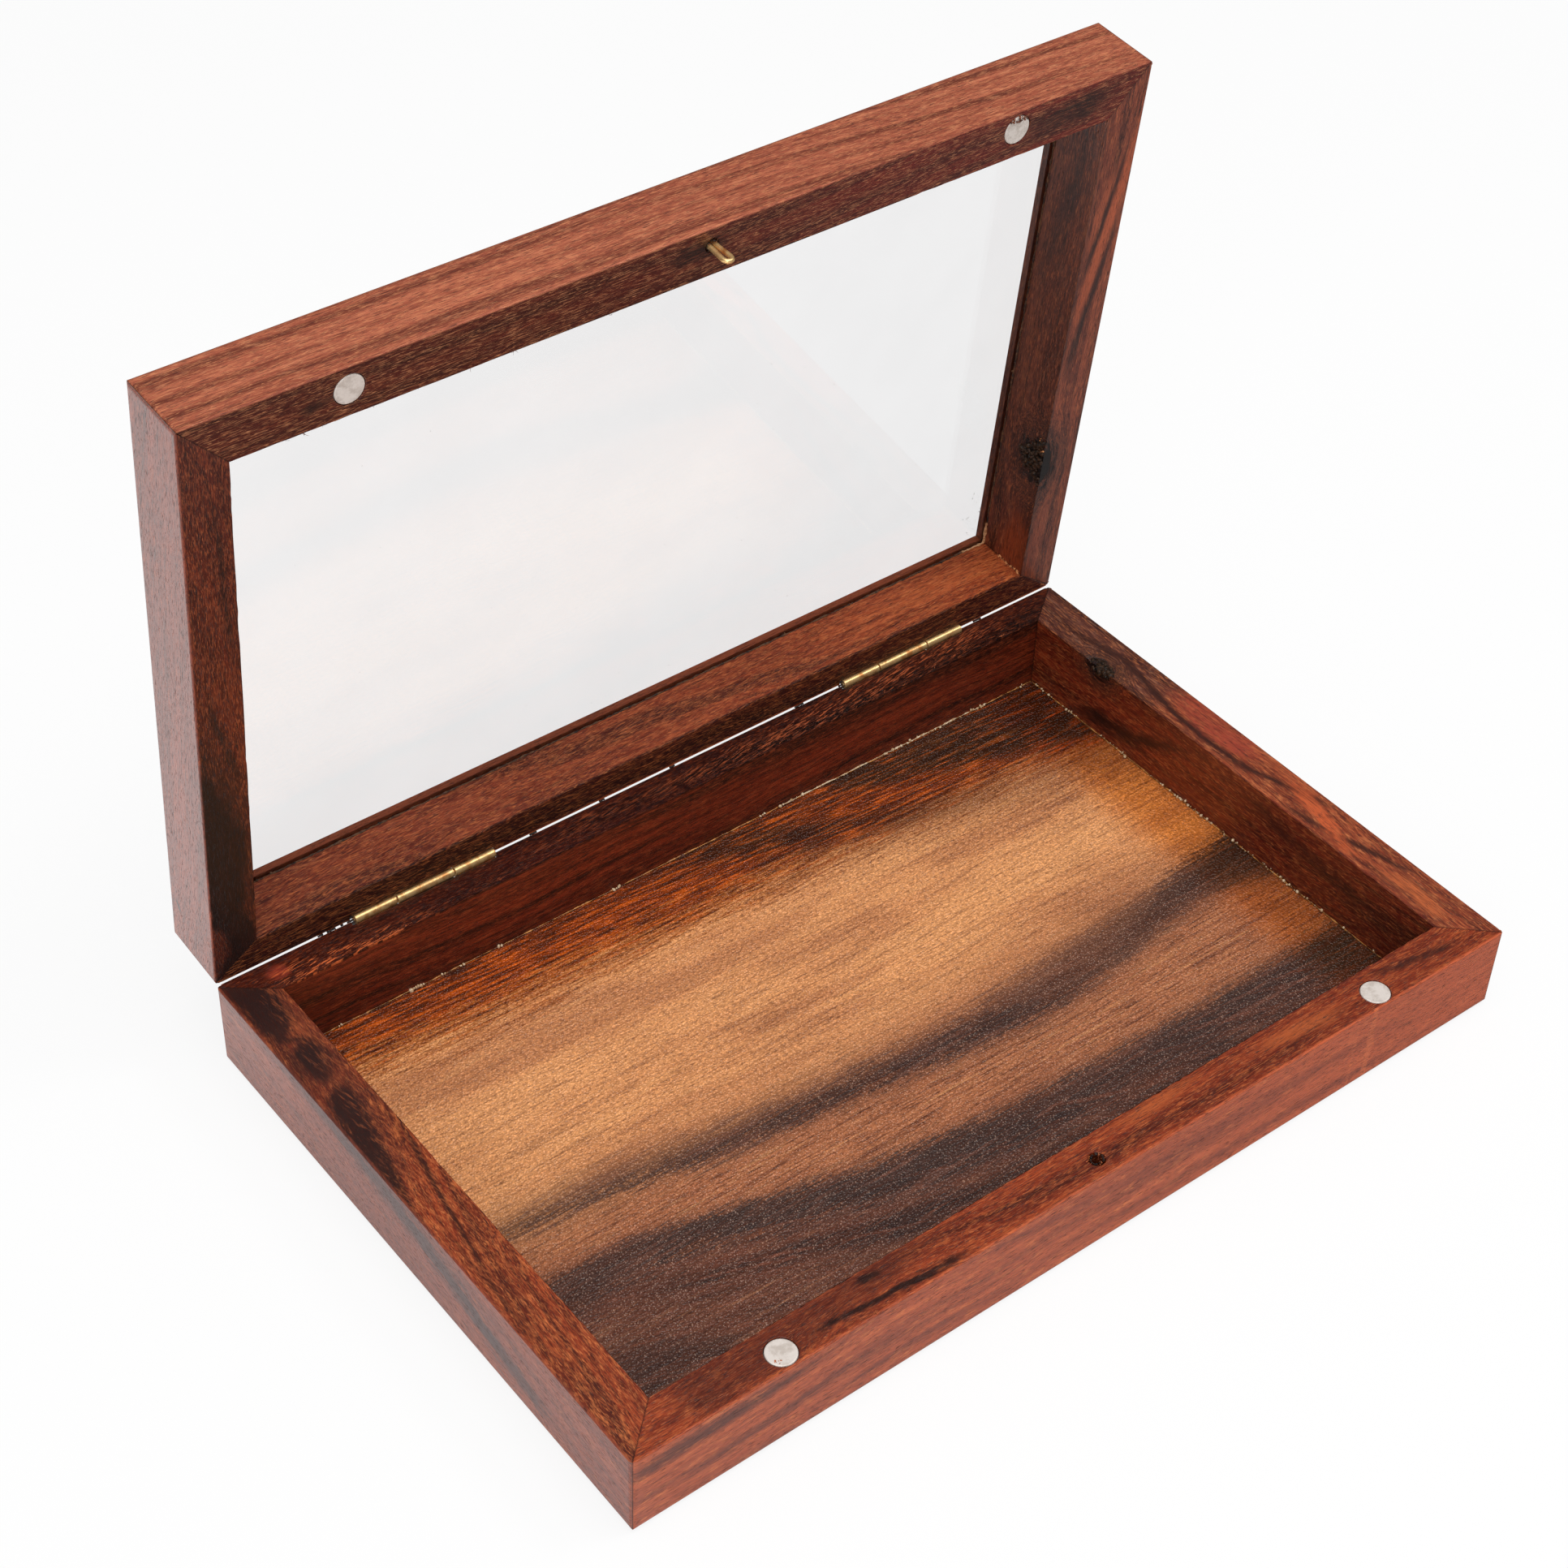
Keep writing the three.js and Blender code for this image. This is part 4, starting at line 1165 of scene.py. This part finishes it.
hinge_parts = (("base_leaf", "base"), ("lid_leaf", "lid"), ("pin", "base"))
brass_parts = [(f"{side}_hinge_{part}", half) for side in ("left", "right") for part, half in hinge_parts]
brass_parts.append(("catch_loop", "lid"))
for node, half in brass_parts:
    work = merged_copy(node, half)
    join_flat_faces(work)
    if node != "catch_loop":
        # The short sharp edges across the hinge's line are the ends of its knuckles and of its pin.
        across = [e for e in work.edges if abs(e.verts[0].co.x - e.verts[1].co.x) < 0.001]
        ends = [e for e in across if e.calc_length() < 0.7 and e.calc_face_angle(0) > 1.2]
        soften(work, ends, 0.06, 1)
    mesh = mesh_from(work, node + "_polished", half, brass[half], 40)
    even_normals(link(mesh.name, mesh, half, node))
    print(node, "faces", len(mesh.polygons))

# %% [markdown]
# The rest are traces of handwork: glue, filler, dust and torn fibres. Each is one small thing repeated
# along a line, which is what Geometry Nodes are good at. A guide mesh holds the lines, in the box's
# millimetres. A tree scatters or sweeps something along it, and the result becomes one plain mesh.

# %% Recipes that follow a guide
# The lowest and highest h for a trace in front of the hinges. With the lid shut, 0.3 mm are left
# between the halves, and no trace may bridge them, or stand out in front of the box.
KEPT_FREE = {"base": (0.0, 19.38), "lid": (-0.28, HALVES["lid"]["height"])}
AT_HINGES = WIDTH - 0.2
HALF_TURN = 3.14


class Recipe(Shader):
    """A Geometry Nodes tree with named inputs, which starts from a guide mesh."""

    def __init__(self, name, **values):
        self.name = name
        self.tree = bpy.data.node_groups.new(name, "GeometryNodeTree")
        sockets = self.tree.interface
        sockets.new_socket("Guide", in_out="INPUT", socket_type="NodeSocketGeometry")
        sockets.new_socket("Result", in_out="OUTPUT", socket_type="NodeSocketGeometry")
        self.values = {}
        for key, value in values.items():
            kind = "NodeSocketInt" if isinstance(value, int) else "NodeSocketFloat"
            made = sockets.new_socket(key, in_out="INPUT", socket_type=kind)
            self.values[made.identifier] = value
        self.inputs = self.tree.nodes.new("NodeGroupInput").outputs

    def given(self, key):
        return Number(self, self.inputs[key])

    def chance(self, low, high, shift=0):
        inputs = {2: low, 3: high, 8: self.given("Seed") + shift}
        return self.node("FunctionNodeRandomValue", {"data_type": "FLOAT"}, inputs, 1)

    def turns(self, shift=0):
        inputs = {0: (0, 0, 0), 1: (HALF_TURN * 2,) * 3, 8: self.given("Seed") + shift}
        return self.node("FunctionNodeRandomValue", {"data_type": "FLOAT_VECTOR"}, inputs, 0)

    def vectors(self, operation, vector, other):
        """A Vector Math node. Its second input is a vector too, or for SCALE a number."""
        inputs = {0: vector, "Scale" if operation == "SCALE" else 1: other}
        return self.node("VectorMath", {"operation": operation}, inputs)

    def place(self, scale):
        """The position, scaled, and moved off by the seed."""
        here = self.node("GeometryNodeInputPosition")
        return self.vectors("ADD", self.vectors("SCALE", here, scale), self.given("Seed"))

    def build(self, result, guide, half, material):
        """Runs the tree on its guide, and keeps what it makes as one plain mesh."""
        real = self.node("GeometryNodeRealizeInstances", None, {0: result})
        done = self.node("GeometryNodeSetMaterial", None, {"Geometry": real, "Material": material})
        self.tree.links.new(done.socket, self.tree.nodes.new("NodeGroupOutput").inputs[0])
        holder = in_scene(self.name + "_guide", guide)
        modifier = holder.modifiers.new("recipe", "NODES")
        modifier.node_group = self.tree
        for identifier, value in self.values.items():
            modifier[identifier] = value
        depsgraph = bpy.context.evaluated_depsgraph_get()
        mesh = bpy.data.meshes.new_from_object(holder.evaluated_get(depsgraph), depsgraph=depsgraph)
        holder.modifiers.remove(modifier)
        bpy.data.objects.remove(holder)
        mesh.name = self.name
        low, high = KEPT_FREE[half]
        for vertex in mesh.vertices:
            if vertex.co.y < AT_HINGES:
                vertex.co.z = min(max(vertex.co.z, low), high)
                vertex.co.y = max(vertex.co.y, 0.0)
        mesh.transform(PLACE[half])
        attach(in_scene(self.name, mesh), half)
        print(self.name, "faces", len(mesh.polygons))


def guide_of(lines, faces=()):
    """A mesh of edges from lists of points, or of faces from lists of corners."""
    points, edges, panels = [], [], []
    for line in lines:
        edges += [(len(points) + i, len(points) + i + 1) for i in range(len(line) - 1)]
        points += line
    for corners in faces:
        panels.append([len(points) + i for i in range(len(corners))])
        points += corners
    mesh = bpy.data.meshes.new("guide")
    mesh.from_pydata(points, edges, panels)
    return mesh


def plain_stuff(name, half, light, dark, rough, size=1.2, gloss=0.0, shine=0.5):
    """Glue, filler, dust or torn wood: two tones in soft patches."""
    shader = new_shader(name)
    u, v, h = box_millimetres(shader, half)
    cloud = shader.grain(u * size, v * size, h * size, 3, 0.65)
    grit = shader.grain(u * 6.0, v * 6.0, h * 6.0, 1, 0.5)
    colour = shader.mix(cloud.smooth(0.36, 0.62), rgb(*dark), rgb(*light))
    normal = shader.bump(grit, 0.5, 0.00008)
    return shader.finish(colour, rough + cloud * 0.2, Normal=normal, Coat_Weight=gloss,
                         Specular_IOR_Level=shine)


print("recipes ready")

# %% [markdown]
# A run of glue or filler is a thin rope. It is swept along its line with a radius that swells and
# shrinks and a centre that wanders a little, so it never looks like a drawn line. With a taper, the
# same sweep makes torn fibres.

# %% Ropes of glue, filler and fibre
def rope(name, lines, half, material, thin, thick, wander, seed, every=0.5, lump=0.5, taper=0.0):
    made = Recipe(name, Thin=thin, Thick=thick, Wander=wander, Every=every, Taper=taper, Seed=seed)
    curve = made.node("GeometryNodeMeshToCurve", None, {0: made.given("Guide")})
    inputs = {"Curve": curve, "Length": made.given("Every")}
    fine = made.node("GeometryNodeResampleCurve", {"mode": "LENGTH"}, inputs)
    swell = made.noise(made.place(lump), 2.0, 0.7)
    drift = made.noise(made.place(lump * 0.8), 2.0, 0.6, colour=True)
    centred = made.vectors("SUBTRACT", drift, (0.5, 0.5, 0.5))
    shift = made.vectors("SCALE", centred, made.given("Wander"))
    moved = made.node("GeometryNodeSetPosition", None, {"Geometry": fine, "Offset": shift})
    radius = made.given("Thin") + swell.smooth(0.38, 0.68) * (made.given("Thick") - made.given("Thin"))
    along = made.node("GeometryNodeSplineParameter")
    radius = radius * (1 - along * made.given("Taper"))
    six_sides = {"Resolution": 6, "Radius": 1.0}
    ring = made.node("GeometryNodeCurvePrimitiveCircle", {"mode": "RADIUS"}, six_sides)
    inputs = {"Curve": moved, "Profile Curve": ring, "Scale": radius, "Fill Caps": True}
    swept = made.node("GeometryNodeCurveToMesh", None, inputs)
    made.build(swept, guide_of(lines), half, material)

# %% [markdown]
# Drops of glue, chips and specks are many small lumps near a line or on a panel. Each lump is a coarse
# ball, turned at random and a little flattened. Noise along the line leaves bare stretches, so the
# lumps come in clusters.

# %% Crumbs along lines and on panels
def crumbs(name, lines, half, material, every, keep, small, large, spread, seed, panels=(), balls=1):
    made = Recipe(name, Every=every, Keep=keep, Small=small, Large=large, Spread=spread, Seed=seed)
    if panels:
        inputs = {"Mesh": made.given("Guide"), "Density": made.given("Every"), "Seed": made.given("Seed")}
        points = made.node("GeometryNodeDistributePointsOnFaces", {"distribute_method": "RANDOM"}, inputs)
    else:
        curve = made.node("GeometryNodeMeshToCurve", None, {0: made.given("Guide")})
        inputs = {"Curve": curve, "Length": made.given("Every")}
        points = made.node("GeometryNodeCurveToPoints", {"mode": "LENGTH"}, inputs)
    cluster = made.noise(made.place(0.16), 2.0, 0.6).smooth(0.40, 0.60)
    loss = made.chance(0.0, 1.0, 1).math("GREATER_THAN", cluster + made.given("Keep") - 1.0)
    inputs = {"Geometry": points, "Selection": loss}
    kept = made.node("GeometryNodeDeleteGeometry", {"domain": "POINT"}, inputs)
    way_out = made.vectors("SUBTRACT", made.turns(2), (HALF_TURN,) * 3)
    shift = made.vectors("SCALE", way_out, made.given("Spread") / HALF_TURN)
    moved = made.node("GeometryNodeSetPosition", None, {"Geometry": kept, "Offset": shift})
    ball = made.node("GeometryNodeMeshIcoSphere", None, {"Radius": 1.0, "Subdivisions": balls})
    size = made.chance(0.0, 1.0, 3) ** 2.0
    size = made.given("Small") + size * (made.given("Large") - made.given("Small"))
    scale = made.vector(size, size * made.chance(0.6, 1.0, 4), size * made.chance(0.5, 0.9, 5))
    inputs = {"Points": moved, "Instance": ball, "Rotation": made.turns(6), "Scale": scale}
    spread_out = made.node("GeometryNodeInstanceOnPoints", None, inputs)
    made.build(spread_out, guide_of(lines, panels), half, material)

# %% [markdown]
# The floor sheet is held by hot glue, run along the foot of each wall. It is amber where it is thin and
# whitish in drops. The back and right walls, which the photograph shows, have their drops where it
# shows them.

# %% Glue round the floor
amber = plain_stuff("amber glue", "base", (196, 132, 66), (96, 52, 24), 0.25, 0.5, 0.4)
milky = plain_stuff("milky glue", "base", (214, 192, 160), (168, 128, 84), 0.22, 1.5, 0.5)
LEFT_WALL, RIGHT_WALL = 9.8, 195.2
FRONT_WALL, BACK_WALL = 9.0, 123.8
OFF_WALL, FOOT, DROP_LEVEL = 0.18, 2.52, 2.75
back_line = [(10.2, BACK_WALL - OFF_WALL, FOOT), (194.9, BACK_WALL - OFF_WALL, FOOT)]
right_line = [(RIGHT_WALL - OFF_WALL, 123.3, FOOT), (RIGHT_WALL - OFF_WALL, 9.4, FOOT)]
left_line = [(LEFT_WALL + OFF_WALL, 9.4, FOOT), (LEFT_WALL + OFF_WALL, 123.3, FOOT)]
front_line = [(10.2, FRONT_WALL + OFF_WALL, FOOT), (194.9, FRONT_WALL + OFF_WALL, FOOT)]
rope("floor_glue_run", [back_line, right_line, left_line, front_line], "base", amber, 0.05, 0.20, 0.30, 3)
rope("floor_glue_bead", [[(126, 123.55, 2.7), (180, 123.55, 2.6)]], "base", milky, 0.04, 0.26, 0.4, 11, 0.6)
BACK_DROPS = ((20.4, 21.0), (36.4, 39.2), (43.6, 44.2), (47.8, 48.4), (56.6, 57.2), (84, 85.4), (121, 122))
drops = [[(a, 123.45, DROP_LEVEL), (b, 123.45, DROP_LEVEL)] for a, b in BACK_DROPS]
crumbs("floor_glue_beads", drops, "base", milky, 0.5, 2.0, 0.26, 0.50, 0.12, 5, balls=2)
drops = [[(194.85, 122, 2.8), (194.85, 18, 2.8)], [(126, 123.45, DROP_LEVEL), (194, 123.45, DROP_LEVEL)]]
crumbs("floor_glue_drops", drops, "base", milky, 0.6, 1.0, 0.12, 0.46, 0.22, 7, balls=2)

# %% [markdown]
# The hinges sit in notches that were cut a little long. The slack at their left ends and under the middle
# knuckles is black, and dark ropes fill it. A few dark fibres bridge the seam. The lid side has its own.

# %% Dark fill in the notches, and fibres across the seam
STARTS, BARREL, KNUCKLE = (29.85, 148.1), 31.6, 9.4
BRIDGES = (
    (28.3, 29.7), (146.9, 147.9), (21.9, 23.0), (23.9, 25.7), (26.9, 27.4), (69.8, 71.4), (86.4, 87.6),
    (103.6, 104.8), (135.4, 137.6), (183.6, 185.6),
)


def at_both_hinges(begin, end, v, h):
    """A short line at each hinge. Its ends are given from where the barrel starts."""
    return [[(start + begin, v, h), (start + end, v, h)] for start in STARTS]


# One dark stuff for the slack in the notches, the fibres across the seam and the chips round the wire's
# hole.
dark_stuff = {half: plain_stuff(half + " dirt", half, (44, 26, 18), (16, 9, 7), 0.6) for half in HALVES}
lines = at_both_hinges(-0.80, -0.10, 131.1, 18.88) + at_both_hinges(-0.80, -0.10, 130.7, 18.5)
rope("hinge_end_dirt", lines, "base", dark_stuff["base"], 0.26, 0.30, 0.04, 21, 0.2)
lines = at_both_hinges(KNUCKLE, BARREL - KNUCKLE, 131.15, 17.76)
rope("hinge_floor_dirt", lines, "base", dark_stuff["base"], 0.35, 0.38, 0.03, 23, 0.5)
lines = at_both_hinges(-0.80, -0.10, 130.95, 0.33)
rope("hinge_lid_dirt", lines, "lid", dark_stuff["lid"], 0.34, 0.36, 0.03, 25, 0.2)
lines = [[(a, 131.42, 19.28), (b, 131.44, 19.30)] for a, b in BRIDGES]
rope("seam_fibres", lines, "base", dark_stuff["base"], 0.18, 0.26, 0.05, 27, 0.25, 2.0)

# %% [markdown]
# The pane was pushed into its groove and sealed by hand. On the inside a dark ragged line runs round it:
# filler, with painted shade where the gap in the groove stands open. Tan glue sits in the lower right
# corner, and raw chips run down the mitre there.

# %% Filler and painted shade round the pane
filler_and_shade = plain_stuff("groove filler and shade", "lid", (96, 62, 38), (34, 20, 13), 0.7, 0.8)
tan_glue = plain_stuff("tan glue", "lid", (206, 156, 112), (150, 98, 62), 0.5)
raw = plain_stuff("raw chips", "lid", (214, 146, 92), (150, 84, 48), 0.7)
dust = plain_stuff("dust", "lid", (120, 84, 64), (40, 28, 22), 0.8)
EDGE, PANE_FACE = 12.36, 12.57
lines = [
    [(9.4, 124.10, EDGE), (195.6, 124.10, EDGE)],
    [(195.74, 123.9, EDGE), (195.74, 10.2, EDGE)],
    [(9.26, 10.2, EDGE), (9.26, 123.9, EDGE)],
    [(9.4, 10.05, EDGE), (195.6, 10.05, EDGE)],
]
# Part filler, part painted shade in the gap between the glass and the groove's wall.
rope("pane_filler", lines, "lid", filler_and_shade, 0.10, 0.30, 0.40, 31, 0.45, 0.8)
crumbs("pane_filler_chips", lines[:2], "lid", filler_and_shade, 0.8, 1.1, 0.12, 0.34, 0.22, 33)
lines = [[(195.62, 123.9, 12.2), (195.62, 118.5, 12.3)], [(189.5, 123.98, 12.25), (195.4, 123.98, 12.2)]]
rope("pane_corner_glue", lines, "lid", tan_glue, 0.12, 0.45, 0.25, 35, 0.4, 0.8)
chipped = [[(195.66, 124.0, 7.5), (195.66, 124.0, 0.8)]]
crumbs("mitre_chips", chipped, "lid", raw, 0.22, 1.6, 0.10, 0.42, 0.18, 37)


def on_pane(u0, v0, u1, v1):
    """One panel on the inner face of the glass, between two of its corners."""
    return [[(u, v, PANE_FACE) for u, v in ((u0, v0), (u1, v0), (u1, v1), (u0, v1))]]


crumbs("pane_dust_corner", [], "lid", dust, 0.9, 1.0, 0.03, 0.13, 0.0, 39, on_pane(188, 108, 195.4, 123.6))
crumbs("pane_dust", [], "lid", dust, 0.012, 1.0, 0.02, 0.09, 0.0, 41, on_pane(10, 11, 195, 123))

# %% [markdown]
# The tools tore the wood in places: along the lid's front inner arris, round the wire and round its
# hole in the base, along the back of the well and at one spot on the base's front arris. A torn place
# is a small spray of tapered fibres.

# %% Torn fibres
HOLE = (103.4, 3.8)


def either_way(chance):
    """A vector with three parts from -1 to 1."""
    return Vector([chance.uniform(-1, 1) for axis in range(3)])


def spray(chance, place, number, length, way, spread):
    """Lines that start near a place and lean one way, each a little differently."""
    lines = []
    for i in range(number):
        start = Vector(place) + either_way(chance) * spread * 0.4
        lean = Vector(way) + either_way(chance) * 0.6
        end = start + lean.normalized() * length * chance.uniform(0.4, 1.0)
        middle = (start + end) / 2 + either_way(chance) * length * 0.1
        lines.append([tuple(start), tuple(middle), tuple(end)])
    return lines


def round_hole(chance, places, level, length, rise, spread):
    """Four fibres at each place, leaning towards the wire or its hole."""
    lines = []
    for u, v in places:
        lines += spray(chance, (u, v, level), 4, length, (HOLE[0] - u, HOLE[1] - v, rise), spread)
    return lines


chance = random.Random(12)
torn = {
    "base": plain_stuff("torn base wood", "base", (206, 112, 60), (120, 52, 28), 0.6),
    "lid": plain_stuff("torn lid wood", "lid", (132, 76, 48), (52, 28, 20), 0.6),
}
lines = spray(chance, (50.6, 0.35, 19.0), 7, 1.7, (0.3, 0.4, 0.3), 1.6)
lines += spray(chance, (36.0, 4.5, 19.1), 3, 1.4, (0.8, 0.4, 0.12), 0.8)
places = ((101.4, 3.9), (102.2, 4.9), (104.6, 4.6), (104.9, 3.2), (103.0, 2.4))
lines += round_hole(chance, places, 19.08, 1.3, 0.1, 0.9)
for u in [chance.uniform(10, 38) for i in range(16)] + [chance.uniform(120, 190) for i in range(20)]:
    lines += spray(chance, (u, 124.2, 19.06), 1, 2.2, (1.0, 0.25, 0.02), 0.6)
rope("torn_base_fibres", lines, "base", torn["base"], 0.03, 0.07, 0.12, 43, 0.22, 1.5, taper=0.85)
INNER_ARRIS = (
    # Place along the lid's front rail, and number of fibres
    (19.5, 3), (22.5, 4), (26.4, 4), (36.0, 3), (45.0, 3), (54.0, 2), (63.0, 3), (74.0, 4), (83.0, 2),
)
lines = []
for u, number in INNER_ARRIS:
    lines += spray(chance, (u, 9.9, 0.2), number, 1.5, (0.4, 0.8, 0.25), 1.2)
places = ((102.4, 3.2), (104.4, 4.4), (104.2, 3.0), (102.6, 4.6))
lines += round_hole(chance, places, 0.02, 1.2, -0.1, 0.8)
rope("torn_lid_fibres", lines, "lid", torn["lid"], 0.03, 0.08, 0.12, 45, 0.22, 1.5, taper=0.85)

# %% [markdown]
# The wire's hole and the root of the wire are ragged and dark: flat dark chips ring them. The knots are
# heaps of glossy black lumps with an orange grain or two.

# %% Ragged holes and knots
def ring_line(h, radius, long):
    """A closed line round the wire's hole, a little longer along the rail than across it."""
    turn = [2 * math.pi * i / 12 for i in range(13)]
    return [[(HOLE[0] + radius * long * math.cos(a), HOLE[1] + radius * math.sin(a), h) for a in turn]]


pitch = {
    half: plain_stuff(half + " knot", half, (60, 38, 22), (9, 6, 5), 0.34, 1.5, 0.0, 0.25)
    for half in HALVES
}
ring = ring_line(19.0, 1.05, 1.25)
crumbs("catch_hole_rim", ring, "base", dark_stuff["base"], 0.22, 2.0, 0.10, 0.42, 0.12, 51)
ring = ring_line(0.1, 0.95, 1.2)
crumbs("catch_root_rim", ring, "lid", dark_stuff["lid"], 0.22, 2.0, 0.10, 0.40, 0.12, 53)
HEAPS = (
    # Name, half, stuff, lumps to a square millimetre, smallest, largest, seed, roundness, and the panel
    ("magnet_filler", "lid", torn["lid"], 9.0, 0.12, 0.34, 61, 1,
     [(170.7, 1.5, -0.02), (174.1, 1.4, -0.02), (174.6, 2.5, -0.02), (170.2, 2.3, -0.02)]),
    ("magnet_chips", "base", torn["base"], 7.0, 0.10, 0.28, 63, 1,
     [(30.3, 2.6, 19.1), (31.2, 1.6, 19.1), (31.9, 2.0, 19.1), (31.0, 3.1, 19.1)]),
    ("base_knot", "base", pitch["base"], 3.2, 0.35, 0.95, 55, 2,
     [(194.4, 100.6, 18.6), (196.6, 101.4, 18.9), (197.8, 104.0, 18.9), (196.4, 107.6, 18.9),
      (194.4, 107.0, 18.6)]),
    ("lid_knot", "lid", pitch["lid"], 2.6, 0.30, 0.90, 57, 2,
     [(195.7, 87.6, 0.3), (195.7, 99.0, 0.3), (195.7, 97.0, 4.6), (195.7, 93.0, 6.6), (195.7, 90.4, 3.4)]),
    ("lid_knot_specks", "lid", raw, 1.8, 0.10, 0.26, 59, 1,
     [(195.66, 87.0, 0.2), (195.66, 91.0, 0.2), (195.66, 90.0, 2.4), (195.66, 87.6, 1.6)]),
)
for name, half, stuff, density, small, large, seed, balls, panel in HEAPS:
    crumbs(name, [], half, stuff, density, 1.9, small, large, 0.0, seed, [panel], balls)
